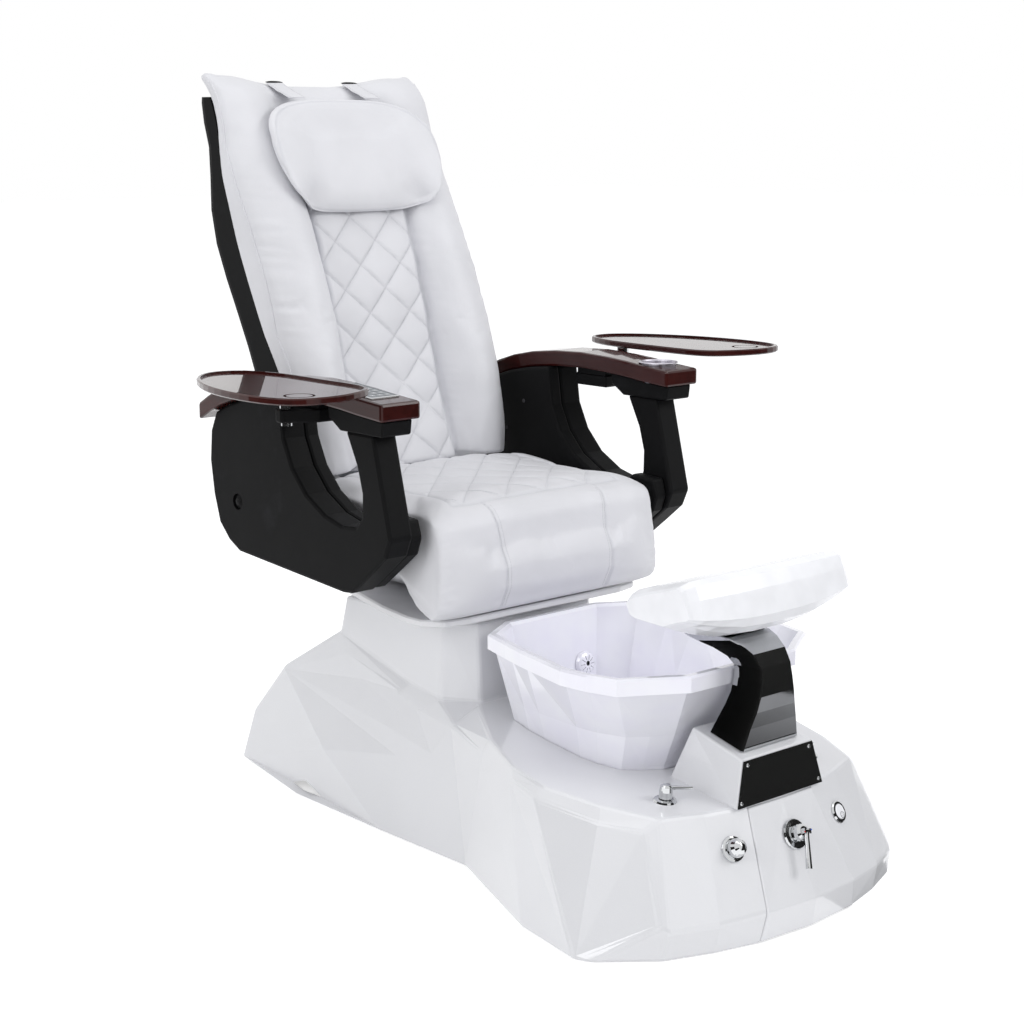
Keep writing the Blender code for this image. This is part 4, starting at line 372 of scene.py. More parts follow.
def pill(bm, start, end, radius, sides=6):
    """Add a thread-like stitch or short rod with domed ends between two points."""
    run = end - start
    length = run.length
    profile = [(0.0, -radius * 0.5), (radius * 0.75, -radius * 0.25), (radius, radius * 0.5),
               (radius, length - radius * 0.5), (radius * 0.75, length + radius * 0.25),
               (0.0, length + radius * 0.5)]
    spin(bm, profile, Matrix.Translation(start) @ turn_to(run), sides)


def cord_line(name, points, radius, material, body):
    """A round welt or wire along a smooth line of points."""
    curve = bpy.data.curves.new(name, "CURVE")
    curve.dimensions = "3D"
    curve.bevel_depth = radius
    curve.bevel_resolution = 3
    curve.use_fill_caps = True
    line = curve.splines.new("POLY")
    line.points.add(len(points) - 1)
    for spot, point in zip(line.points, points):
        spot.co = (*point, 1.0)
    line.use_smooth = True
    curve.materials.append(material)
    piece = bpy.data.objects.new(name, curve)
    bpy.context.scene.collection.objects.link(piece)
    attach(piece, body)
    return piece


def settled(points, passes):
    """A line of points with its small wobbles evened out, its ends kept."""
    line = np.array(points, float)
    for _ in range(passes):
        line[1:-1] = line[1:-1] * 0.5 + (line[:-2] + line[2:]) * 0.25
    return [Vector(p) for p in line]


def coat(names, material, angle=34.0, flat=True):
    """Give CAD nodes their finish; flat keeps the normals of broad faces flat."""
    for name in names:
        piece = NODES[name]
        piece.data.materials.clear()
        piece.data.materials.append(material)
        smooth(piece.data, angle)
        if flat:
            even = piece.modifiers.new("even_normals", "WEIGHTED_NORMAL")
            even.keep_sharp = True
            even.weight = 60


# ---------------------------------------------------------------- padded forms
def applied(piece):
    """The piece's mesh with its modifiers made real."""
    bpy.context.view_layer.update()
    mesh = bpy.data.meshes.new_from_object(piece.evaluated_get(bpy.context.evaluated_depsgraph_get()))
    piece.modifiers.clear()
    old = piece.data
    piece.data = mesh
    bpy.data.meshes.remove(old)
    return mesh


def spots(mesh):
    """All vertex places of a mesh as an array."""
    flat = np.empty(len(mesh.vertices) * 3, np.float32)
    mesh.vertices.foreach_get("co", flat)
    return flat.reshape(-1, 3).astype(float)


def facing(mesh):
    """All vertex normals of a mesh as an array."""
    flat = np.empty(len(mesh.vertices) * 3, np.float32)
    mesh.vertex_normals.foreach_get("vector", flat)
    return flat.reshape(-1, 3).astype(float)


def put(mesh, points):
    mesh.vertices.foreach_set("co", points.astype(np.float32).ravel())
    mesh.update()


def soft_start(node, name, voxel, shrink=0.0, even=6):
    """An even mesh of a CAD cushion without its facets, drawn in a little to leave room to swell."""
    piece = bpy.data.objects.new(name, NODES[node].data.copy())
    bpy.context.scene.collection.objects.link(piece)
    grid = piece.modifiers.new("grid", "REMESH")
    grid.mode = "VOXEL"
    grid.voxel_size = voxel
    mesh = applied(piece)
    relax(mesh, even)
    put(mesh, spots(mesh) - facing(mesh) * shrink)
    return piece


SWELL_FRAMES = 20           # steps that a cover is blown up for
COVER_STIFFNESS = 12.0


def swell(piece, pressure, cap, held):
    """Blow the cover up like a stuffed cushion; held(points) marks what stays put, from 0 to 1."""
    mesh = piece.data
    start = spots(mesh)
    grip = held(start)
    group = piece.vertex_groups.new(name="held")
    for weight in (0.25, 0.5, 0.75, 1.0):
        chosen = np.where((grip > weight - 0.125) & (grip <= weight + 0.125))[0]
        group.add([int(i) for i in chosen], weight, "REPLACE")
    cloth = piece.modifiers.new("swell", "CLOTH")
    rules = cloth.settings
    rules.quality = 6
    rules.mass = 0.35
    rules.tension_stiffness = rules.compression_stiffness = COVER_STIFFNESS
    rules.shear_stiffness = COVER_STIFFNESS * 0.4
    rules.bending_stiffness = 0.6
    rules.use_pressure = True
    rules.uniform_pressure_force = pressure
    rules.vertex_group_mass = "held"
    rules.effector_weights.gravity = 0.0
    cloth.point_cache.frame_start = 1
    cloth.point_cache.frame_end = SWELL_FRAMES
    scene = bpy.context.scene
    for step in range(1, SWELL_FRAMES + 1):
        scene.frame_set(step)
        piece.evaluated_get(bpy.context.evaluated_depsgraph_get())
    mesh = applied(piece)
    scene.frame_set(1)
    move = spots(mesh) - start
    size = np.linalg.norm(move, axis=1, keepdims=True)
    put(mesh, start + move * np.minimum(1.0, cap / np.maximum(size, 1e-9)))
    piece.vertex_groups.clear()
    return mesh


def relax(mesh, passes):
    """Even a mesh out, each vertex moving towards the middle of its neighbours."""
    edges = np.empty(len(mesh.edges) * 2, np.int64)
    mesh.edges.foreach_get("vertices", edges)
    a, b = edges.reshape(-1, 2).T
    points = spots(mesh)
    count = np.bincount(a, minlength=len(points)) + np.bincount(b, minlength=len(points))
    for _ in range(passes):
        total = np.zeros_like(points)
        np.add.at(total, a, points[b])
        np.add.at(total, b, points[a])
        points += (total / count[:, None] - points) * 0.5
    put(mesh, points)


def finer(piece):
    """Subdivide the cover once its form is settled."""
    piece.modifiers.new("finer", "SUBSURF").levels = 1
    return applied(piece)


def stitch_in(mesh, rule):
    """Press seams and creases in: rule(points, normals) gives metres outward and painted shade from 0 to 1,
    which the mesh keeps.
    """
    points, normals = spots(mesh), facing(mesh)
    out, dark = rule(points, normals)
    put(mesh, points + normals * out[:, None])
    # painted shade for the leather's colour, darker in the seams and creases
    layer = mesh.attributes.get("crease_shade") or mesh.attributes.new("crease_shade", "FLOAT", "POINT")
    layer.data.foreach_set("value", np.clip(dark, 0, 1).astype(np.float32))


def dip(distance, width):
    """A seam's soft valley: 1 on its line, 0 a few widths away."""
    return np.exp(-(distance / width) ** 2)


def rise(value, low, high):
    """0 below low, 1 above high and smooth between, for arrays."""
    t = np.clip((value - low) / (high - low), 0.0, 1.0)
    return t * t * (3.0 - 2.0 * t)


def ripple(along, across, seed, wave, slow):
    """Uneven puckers: quick along one way, slow along the other, between -1 and 1."""
    rng = random.Random(seed)
    total = np.zeros_like(along)
    for _ in range(7):
        quick = math.tau / (wave * rng.uniform(0.7, 1.9))
        drift = math.tau / (slow * rng.uniform(0.8, 2.4)) * rng.choice((-1, 1))
        envelope = 0.6 + 0.4 * np.sin(along * math.tau / (wave * rng.uniform(4, 9)) + rng.uniform(0, 6.3))
        total += np.sin(along * quick + across * drift + rng.uniform(0, math.tau)) * envelope
    return total / 4.2


def surface_of(piece):
    """A tree of the piece's faces for finding points on it."""
    mesh = piece.data
    return BVHTree.FromPolygons([v.co for v in mesh.vertices], [p.vertices for p in mesh.polygons])


def on_surface(tree, start, way, lift=0.0):
    """Where a line from start along way meets the surface, lifted off it along its normal."""
    point, normal, _, _ = tree.ray_cast(Vector(start), Vector(way))
    if point is None:
        return None
    return point + normal * lift


def upholstered(piece, node, body, material):
    """Finish a padded cover: it rides on its body and stands for its plain solid."""
    piece.data.materials.clear()
    piece.data.materials.append(material)
    smooth(piece.data, 70.0)
    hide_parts(node)
    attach(piece, body)
    return piece


# ---------------------------------------------------------------- lines of the upholstery
PANEL_LINE = ((0.660, 0.330), (0.700, 0.340), (0.783, 0.376), (0.900, 0.410), (1.031, 0.446),
              (1.120, 0.474), (1.210, 0.508), (1.300, 0.543), (1.400, 0.590))
DIAMOND_HALF = (0.05333, 0.050)     # half the width and half the height of a quilted diamond
DIAMOND_START = (0.02667, 0.005)
PILLOW_POWER = 3.2          # how square the pillow's rounded outline is
CHANNEL_HALF = 0.127        # from the middle of the back to where a bolster starts
PIPING_FOOT = 0.735         # height where the piping of the back starts
SEAT_SEAM_X = 0.135         # the seams down the seat's front roll
INSET_X = 0.215             # half the width of the seat's quilted middle
INSET_Y = -0.046            # and its front edge


def panel_y(z):
    """Depth of the quilted panel's face at a height, for arrays."""
    return np.interp(z, [p[0] for p in PANEL_LINE], [p[1] for p in PANEL_LINE])


def diamonds(x, z):
    """Distance in diamonds from each of the two families of stitch lines, for arrays."""
    across = (x + DIAMOND_START[0]) / DIAMOND_HALF[0]
    up = (z - DIAMOND_START[1]) / DIAMOND_HALF[1]
    return np.abs(np.sin(np.pi * (across + up) / 2)), np.abs(np.sin(np.pi * (across - up) / 2))


def stitch_row(bm, points, length, gap, radius):
    """Lay stitches of one length along a line of points."""
    travelled, next_start = 0.0, 0.0
    start = None
    for a, b in zip(points, points[1:]):
        run = (b - a).length
        while run > 0 and next_start <= travelled + run:
            spot = a.lerp(b, (next_start - travelled) / run)
            if start is None:
                start = spot
                next_start += length
            else:
                pill(bm, start, spot, radius)
                start = None
                next_start += gap
        travelled += run


def quilting(bm, half, steps, rows, span, found_at, sizes):
    """Sew along both families of diamond lines; found_at(x, v) gives the spot on the cover or None."""
    for slope in (1, -1):
        for k in range(*rows):
            line = []
            for step in range(steps):
                x = -half + 0.004 + (2 * half - 0.008) * step / (steps - 1)
                across = (x + DIAMOND_START[0]) / DIAMOND_HALF[0]
                v = DIAMOND_START[1] + DIAMOND_HALF[1] * slope * (2 * k - across)
                if span[0] < v < span[1]:
                    found = found_at(x, v)
                    if found is not None:
                        line.append(found)
            if len(line) > 3:
                stitch_row(bm, line, sizes.stitch, sizes.stitch * 0.30, sizes.thread)


def super_round(p, middle, across, high):
    """How far out in a rounded rectangle each point lies: 1 on its outline."""
    return (np.abs((p[:, 0] - middle.x) / across) ** PILLOW_POWER
            + np.abs((p[:, 2] - middle.z) / high) ** PILLOW_POWER) ** (1 / PILLOW_POWER)


class SpaChairSizes(bpy.types.PropertyGroup):
    """Sizes of the upholstery and trim."""
    swell: FloatProperty(name="Swell", description="Most that a cushion's cover moves when stuffed",
                         default=0.007, min=0.001, max=0.03, subtype="DISTANCE", unit="LENGTH")
    voxel: FloatProperty(name="Cover mesh", description="Mesh size of the simulated covers",
                         default=0.006, min=0.003, max=0.02, subtype="DISTANCE", unit="LENGTH")
    stitch: FloatProperty(name="Stitch", description="Length of one stitch",
                          default=0.0042, min=0.001, max=0.01, subtype="DISTANCE", unit="LENGTH")
    thread: FloatProperty(name="Thread", description="Radius of the sewing thread",
                          default=0.00045, min=0.0001, max=0.002, subtype="DISTANCE", unit="LENGTH")
    welt: FloatProperty(name="Welt", description="Radius of the piping along the edges",
                        default=0.0021, min=0.001, max=0.006, subtype="DISTANCE", unit="LENGTH")
    puff: FloatProperty(name="Puff", description="Height of the quilted diamonds over their stitch lines",
                        default=0.0062, min=0.001, max=0.02, subtype="DISTANCE", unit="LENGTH")
    strap: FloatProperty(name="Strap", description="Width of the pillow straps",
                         default=0.042, min=0.01, max=0.08, subtype="DISTANCE", unit="LENGTH")


class SpaChairColours(bpy.types.PropertyGroup):
    """Colours of the finishes."""
    leather: FloatVectorProperty(name="Leather", description="Colour of the upholstery", size=3,
                                 subtype="COLOR", min=0, max=1, default=(0.735, 0.735, 0.765))
    moulding: FloatVectorProperty(name="Moulding", description="Colour of the base", size=3,
                                  subtype="COLOR", min=0, max=1, default=(0.775, 0.778, 0.800))
    acrylic: FloatVectorProperty(name="Basin", description="Colour of the foot basin", size=3,
                                 subtype="COLOR", min=0, max=1, default=(0.93, 0.93, 0.985))
    black: FloatVectorProperty(name="Black", description="Colour of the arms and the back shell", size=3,
                               subtype="COLOR", min=0, max=1, default=(0.0040, 0.0041, 0.0045))
    wood: FloatVectorProperty(name="Wood", description="Colour of the lacquered wood", size=3,
                              subtype="COLOR", min=0, max=1, default=(0.034, 0.0042, 0.0032))
    chrome: FloatVectorProperty(name="Chrome", description="Colour of the plated parts", size=3,
                                subtype="COLOR", min=0, max=1, default=(0.62, 0.63, 0.64))


def finishes():
    """All finishes, made once and found by name after that."""
    own = bpy.context.scene.spa_chair_colours
    wanted = {
        "white_leather": (leather_finish, own.leather),
        "quilted_leather": (leather_finish, own.leather, 0.7),
        "piping_leather": (leather_finish, [c * 0.97 for c in own.leather], 0.4),
        "white_thread": (thread_finish, [c * 0.92 for c in own.leather]),
        "pearl_moulding": (moulding_finish, own.moulding),
        "basin_acrylic": (acrylic_finish, own.acrylic),
        "black_plastic": (black_finish, own.black),
        "black_casting": (black_finish, own.black, 0.10),
        "mahogany": (lacquer_finish, own.wood),
        "chrome": (metal_finish, own.chrome, 0.035, (3.0, 3.0, 3.0)),
        "zinc_steel": (metal_finish, (0.45, 0.46, 0.48), 0.30, (6.0, 1.0, 1.0), 0.00008),
        "silver_anodised": (metal_finish, (0.56, 0.54, 0.60), 0.24, (1.0, 1.0, 9.0), 0.00006),
        "keypad_grey": (speckle_finish, (0.20, 0.215, 0.23)),
        "button_grey": (plain_gloss_finish, (0.36, 0.375, 0.39), 0.30),
        "gloss_white": (plain_gloss_finish, (0.93, 0.935, 0.965), 0.30),
        "pan_white": (plain_gloss_finish, (0.78, 0.78, 0.80), 0.28),
        "motor_grey": (plain_gloss_finish, (0.055, 0.056, 0.060), 0.42),
        # painted shade: black for the strap slots and strainer holes, grey for the jet cover's slots
        "slot_black": (black_finish, (0.004, 0.004, 0.005)),
        "slot_grey": (plain_gloss_finish, (0.30, 0.30, 0.34), 0.3),
        "hot_red": (plain_gloss_finish, (0.60, 0.02, 0.02), 0.18),
        "cold_blue": (plain_gloss_finish, (0.02, 0.09, 0.55), 0.18),
        "knob_grey": (black_finish, (0.055, 0.055, 0.060)),
    }
    made = {m.name: m for m in bpy.data.materials}
    return {word: made.get("spa_" + word) or make("spa_" + word, *values)
            for word, (make, *values) in wanted.items()}


# ---------------------------------------------------------------- operators
class SPA_OT_finish_frame(bpy.types.Operator):
    """Give every rigid part of the frame its finish"""
    bl_idname = "spa_chair.finish_frame"
    bl_label = "Finish the Rigid Parts"

    def execute(self, context):
        look = finishes()
        coat(["base_shell", "front_access_panel"], look["pearl_moulding"], 30.0)
        coat(["basin", "jet_cover"], look["basin_acrylic"], 30.0)
        coat(["back_shell"] + [f"{s}_arm_{p}" for s, _ in SIDES
                               for p in ("outer_shell", "inner_shell", "saddle")],
             look["black_plastic"], 30.0)
        coat([f"{s}_{p}" for s, _ in SIDES for p in ("tray_bracket", "pivot_cap")],
             look["black_casting"])
        coat([f"{s}_{p}" for s, _ in SIDES for p in ("armrest", "tray")], look["mahogany"], 36.0)
        coat(["footrest_column"], look["chrome"], 50.0, False)
        coat(["drain_knob", "drain_knob_ring", "drain_strainer", "front_plate",
              "jet_switch_bezel", "keypad_frame", "mixer_escutcheon", "mixer_lever", "mixer_turret",
              "slide_rod"] + [f"{s}_{p}" for s, _ in SIDES
                              for p in ("tray_post", "valve_flange", "valve_lever")], look["chrome"])
        coat(["back_frame", "footrest_hinge_leaf", "footrest_hinge_pin", "massage_rails", "pivot_shaft",
              "slide_rails", "slide_runners"], look["zinc_steel"])
        coat(["cup_holder"], look["silver_anodised"])
        coat(["keypad_panel"], look["keypad_grey"])
        coat(["footrest_pad", "jet_switch_button"], look["gloss_white"], 50.0)
        coat(["seat_pan"], look["pan_white"])
        coat(["jet_impeller", "jet_motor", "massage_carriage", "slide_actuator", "waste_pipe"],
             look["motor_grey"])
        return {"FINISHED"}


class SPA_OT_back_cushion(bpy.types.Operator):
    """Stuff and sew the back cushion with its two bolsters"""
    bl_idname = "spa_chair.back_cushion"
    bl_label = "Back Cushion"

    def execute(self, context):
        sizes, look = context.scene.spa_chair_sizes, finishes()
        low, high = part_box("back_cushion")
        piece = soft_start("back_cushion", "back_upholstery", sizes.voxel, sizes.swell * 0.45)

        def held(p):
            rear = rise(p[:, 1] - np.interp(p[:, 2], [0.7, 1.0, 1.3, 1.5], [0.40, 0.49, 0.625, 0.70]),
                        -0.012, 0.004)
            middle = 1.0 - rise(np.abs(p[:, 0]), CHANNEL_HALF, CHANNEL_HALF + 0.012)
            middle = middle * (1.0 - rise(p[:, 2], 1.40, 1.43))
            foot = 1.0 - rise(p[:, 2], low.z + 0.008, low.z + 0.03)
            return np.maximum.reduce([rear, middle, foot])

        swell(piece, 4.5, sizes.swell, held)
        relax(piece.data, 2)
        mesh = finer(piece)

        def sewing(p, n):
            x, z = np.abs(p[:, 0]), p[:, 2]
            front = rise(-n[:, 1], 0.05, 0.45)
            outer = rise(x, 0.200, 0.268) * front
            pucker = ripple(z, x, 11, 0.020, 0.16) * outer
            pucker *= 0.25 + 0.75 * rise(z, 0.93, 1.02) * (1 - rise(z, 1.20, 1.32))
            inner = dip(x - CHANNEL_HALF - 0.004, 0.004) * front * (1 - rise(z, 1.39, 1.41))
            near_inner = ripple(z, x, 5, 0.026, 0.09) * dip(x - CHANNEL_HALF - 0.012, 0.014) * front
            foot = ripple(p[:, 0], z, 23, 0.034, 0.12) * (1 - rise(z, 0.72, 0.80)) * front
            sag = ripple(p[:, 0] * 0.6 + z, p[:, 0], 31, 0.13, 0.30) * front
            out = 0.0011 * pucker - 0.0022 * inner + 0.0005 * near_inner + 0.0016 * foot
            out = out + 0.0010 * sag
            # painted shade in the bolster seam's valley and in the hollows of the puckers
            return out, 0.40 * inner + 0.20 * np.clip(-pucker, 0, 1)

        stitch_in(mesh, sewing)
        points = spots(mesh)
        x, z = np.abs(points[:, 0]), points[:, 2]
        ears = rise(z, 1.38, high.z) * (rise(x, 0.05, 0.23) * 0.019 - 0.008)
        foot = (1.0 - rise(z, low.z + 0.004, low.z + 0.035)) * 0.006
        points[:, 2] += ears - foot
        put(mesh, points)
        upholstered(piece, "back_cushion", "back", look["white_leather"])

        tree = surface_of(piece)
        for side, sign in SIDES:
            line = []
            for k in range(74):
                z = PIPING_FOOT + (high.z - 0.012 - PIPING_FOOT) * k / 73
                found = None
                for step in range(9):
                    x = sign * (high.x - 0.004 - 0.0022 * step)
                    found = found or on_surface(tree, (x, 0.0, z), (0, 1, 0), sizes.welt * 0.35)
                if found is not None:
                    line.append(found)
            cord_line(f"{side}_back_piping", settled(line, 6), sizes.welt, look["piping_leather"],
                      "back")
        return {"FINISHED"}


class SPA_OT_quilted_panel(bpy.types.Operator):
    """Diamond-quilted panel between the bolsters, with its stitches"""
    bl_idname = "spa_chair.quilted_panel"
    bl_label = "Quilted Panel"

    def execute(self, context):
        sizes, look = context.scene.spa_chair_sizes, finishes()
        low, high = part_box("back_quilt_panel")
        columns, rows = 96, 264
        half = high.x - 0.0003
        xs = np.linspace(-half, half, columns + 1)
        zs = np.linspace(low.z - 0.004, high.z - 0.001, rows + 1)
        x, z = np.meshgrid(xs, zs)
        a, b = diamonds(x, z)
        edge = np.minimum(1.0, (half - np.abs(x)) / 0.010)
        ends = np.minimum(1.0, np.minimum(z - zs[0], zs[-1] - z) / 0.010)
        puff = sizes.puff * np.sqrt(np.clip(a * b, 0, 1)) ** 0.85
        line = np.maximum(dip(a, 0.10), dip(b, 0.10))
        pull = ripple(x + z, x - z, 7, 0.013, 0.03) * np.maximum(dip(a, 0.42), dip(b, 0.42))
        tone = ripple(x * 0.5 + z, x, 19, 0.09, 0.2)
        y = panel_y(z) - puff * (0.35 + 0.65 * np.sqrt(np.clip(edge * ends, 0, 1))) - 0.0006 * pull
        y = y + 0.0009 * line - 0.0005 * tone + 0.0045 * (1 - np.sqrt(np.clip(edge, 0, 1)))
        bm = bmesh.new()
        front = [[bm.verts.new((x[j, i], y[j, i], z[j, i])) for i in range(columns + 1)]
                 for j in range(rows + 1)]
        for j in range(rows):
            for i in range(columns):
                bm.faces.new((front[j][i], front[j][i + 1], front[j + 1][i + 1], front[j + 1][i]))
        rim = ([front[0][i] for i in range(columns + 1)] + [front[j][-1] for j in range(1, rows + 1)]
               + [front[-1][i] for i in range(columns - 1, -1, -1)]
               + [front[j][0] for j in range(rows - 1, 0, -1)])
        deep = [bm.verts.new((v.co.x, float(panel_y(v.co.z)) + 0.0055, v.co.z)) for v in rim]
        for k, vert in enumerate(rim):
            n = (k + 1) % len(rim)
            bm.faces.new((vert, deep[k], deep[n], rim[n]))
        bm.faces.new(deep)
        mesh = from_bmesh(bm, "quilted_panel", 60.0)
        # painted shade: darker along the stitch lines and towards the panel's sides, where it meets the
        # bolsters
        dark = mesh.attributes.new("crease_shade", "FLOAT", "POINT")
        values = np.zeros(len(mesh.vertices), np.float32)
        values[:x.size] = (0.24 * line * edge + 0.5 * (1 - edge)).ravel()
        dark.data.foreach_set("value", values)
        piece = shown_mesh("quilted_panel", mesh, look["quilted_leather"], "back")
        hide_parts("back_quilt_panel")

        tree = surface_of(piece)
        bm = bmesh.new()
        quilting(bm, half, 160, (-30, 60), (zs[0] + 0.004, zs[-1] - 0.004),
                 lambda sx, sz: on_surface(tree, (sx, 0.0, sz), (0, 1, 0), sizes.thread * 0.5), sizes)
        shown("quilting_thread", bm, look["white_thread"], "back")
        return {"FINISHED"}


class SPA_OT_seat_cushion(bpy.types.Operator):
    """Stuff and sew the seat cushion: quilted middle, front roll and apron seams"""
    bl_idname = "spa_chair.seat_cushion"
    bl_label = "Seat Cushion"

    def execute(self, context):
        sizes, look = context.scene.spa_chair_sizes, finishes()
        low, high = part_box("seat_cushion")
        piece = soft_start("seat_cushion", "seat_upholstery", sizes.voxel, sizes.swell * 0.5)

        def held(p):
            under = 1.0 - rise(p[:, 2], low.z + 0.012, low.z + 0.045)
            rear = rise(p[:, 1], high.y - 0.040, high.y - 0.012)
            return np.maximum(under, rear)

        swell(piece, 5.5, sizes.swell * 1.4, held)
        relax(piece.data, 2)
        mesh = finer(piece)

        def sewing(p, n):
            x, y, z = p.T
            side = np.abs(x)
            top = rise(n[:, 2], 0.35, 0.75)
            front = rise(-n[:, 1], 0.30, 0.65) * rise(z, 0.475, 0.49)
            seam = dip(side - SEAT_SEAM_X - 0.010 * rise(z, 0.60, 0.70), 0.0026)
            seam *= rise(-y, 0.040, 0.055) * rise(z, 0.470, 0.490)
            beside = ripple(z, side, 3, 0.020, 0.05) * dip(side - SEAT_SEAM_X, 0.020) * front
            within = rise(INSET_X + 0.004 - side, 0.0, 0.006) * rise(y, INSET_Y, INSET_Y + 0.006) * top
            rim = np.maximum(dip(side - INSET_X, 0.004) * rise(y, INSET_Y - 0.004, INSET_Y + 0.004),
                             dip(y - INSET_Y, 0.005) * rise(INSET_X + 0.006 - side, 0.0, 0.008)) * top
            a, b = diamonds(x, y)
            puff = np.sqrt(np.clip(a * b, 0, 1)) ** 0.85
            lines = np.maximum(dip(a, 0.12), dip(b, 0.12)) * within
            corner = dip(side - 0.281, 0.0035) * rise(-y, 0.070, 0.085) * rise(z, 0.475, 0.50)
            pucker = ripple(z, side, 17, 0.015, 0.05) * rise(side, 0.225, 0.272) * front
            pucker *= 0.35 + 0.65 * (1 - rise(z, 0.55, 0.64))
            belly = ripple(x + 0.3 * z, z, 29, 0.16, 0.35)
            out = (-0.0024 * seam + 0.0006 * beside - 0.0030 * rim - 0.0016 * corner
                   + 0.0013 * pucker + 0.0012 * belly * (front + top) - 0.0035 * within
                   + 0.0038 * puff * within - 0.0006 * lines)
            # painted shade in the apron seams, round the quilted middle, along its stitch lines and at the
            # front corners
            return out, 0.30 * seam + 0.30 * rim + 0.20 * lines + 0.35 * corner

        stitch_in(mesh, sewing)
        points = spots(mesh)
        x, y, z = points.T
        front = 1.0 - rise(y, -0.070, 0.030)
        lower = 1.0 - rise(z, 0.50, 0.63)
        points[:, 0] *= 1.0 + 0.036 * front + 0.020 * lower * front
        points[:, 1] -= 0.011 * front * (0.6 + 0.4 * lower)
        put(mesh, points)
        upholstered(piece, "seat_cushion", "seat", look["white_leather"])

        tree = surface_of(piece)
        bm = bmesh.new()
        for _, sign in SIDES:
            for offset in (-0.0035, 0.0035):
                line = []
                for k in range(60):
                    z = 0.487 + 0.195 * k / 59
                    x = sign * (SEAT_SEAM_X + offset + 0.010 * float(rise(np.array(z), 0.60, 0.70)))
                    found = on_surface(tree, (x, -0.4, z), (0, 1, 0), sizes.thread * 0.4)
                    if found is not None:
                        line.append(found)
                stitch_row(bm, line, sizes.stitch, sizes.stitch * 0.35, sizes.thread)

        def on_top(sx, sy):
            found = on_surface(tree, (sx, sy, 0.9), (0, 0, -1), sizes.thread * 0.4)
            return found if found is not None and found.z > 0.66 else None

        quilting(bm, INSET_X, 200, (-12, 14), (INSET_Y + 0.008, 0.262), on_top, sizes)
        shown("seat_thread", bm, look["white_thread"], "seat")
        return {"FINISHED"}


STRAP_LINE = ((0.5815, 1.4495), (0.6080, 1.4585), (0.6300, 1.4663), (0.6500, 1.4751), (0.6700, 1.4832))
STRAP_END = 0.664           # where the ribbon goes into its slot


def ribbon(side, sizes, look, thread):
    """One pillow strap as a soft ribbon into its slot, with an edge stitch on both sides."""
    low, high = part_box(f"{side}_pillow_strap")
    cushion = surface_of(bpy.data.objects["back_upholstery"])
    centre, half = (low.x + high.x) / 2, sizes.strap / 2
    ys, zs = zip(*STRAP_LINE)
    across, along = 12, 30
    grid = []
    for j in range(along + 1):
        y = ys[0] + (STRAP_END - ys[0]) * j / along
        z = float(np.interp(y, ys, zs)) + 0.0022
        row = []
        for i in range(across + 1):
            u = 2 * i / across - 1
            spot = Vector((centre + half * u, y, z - 0.0009 * u ** 4 + 0.0004 * math.sin(y * 190 + u)))
            under = on_surface(cushion, (spot.x, spot.y, 1.7), (0, 0, -1))
            if under is not None and under.z + 0.0018 > spot.z:
                spot.z = under.z + 0.0018
            row.append(spot)
        grid.append(row)
    bm = bmesh.new()
    verts = [[bm.verts.new(p) for p in row] for row in grid]
    for lower, upper in zip(verts, verts[1:]):
        for i in range(across):
            bm.faces.new((lower[i], lower[i + 1], upper[i + 1], upper[i]))
    strap = shown(f"{side}_strap", bm, look["piping_leather"], "back", 60.0)
    body = strap.modifiers.new("thick", "SOLIDIFY")
    body.thickness = 0.0020
    body.offset = 0.0
    edge = strap.modifiers.new("edge", "BEVEL")
    edge.width = 0.0006
    edge.segments = 2
    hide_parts(f"{side}_pillow_strap")
    for column in (1, across - 1):
        stitch_row(thread, [row[column] + Vector((0, -0.0002, 0.0012)) for row in grid[:-1]],
                   sizes.stitch, sizes.stitch * 0.35, sizes.thread)
    end = grid[-1][across // 2]
    # painted shade: a flat black lens stands for the shade inside the strap's slot
    mouth = bmesh.new()
    slot = Matrix.Translation(end + Vector((0, 0.0004, 0.0008))) @ turn_to((0, -0.40, 0.92))
    spin(mouth, [(0.0, 0.0016), (0.75, 0.0014), (1.0, 0.0), (0.75, -0.0016), (0.0, -0.0020)],
         slot @ Matrix.Diagonal((half * 1.08, 0.0048, 1.0, 1.0)), 40)
    shown(f"{side}_strap_slot_shade", mouth, look["slot_black"], "back")


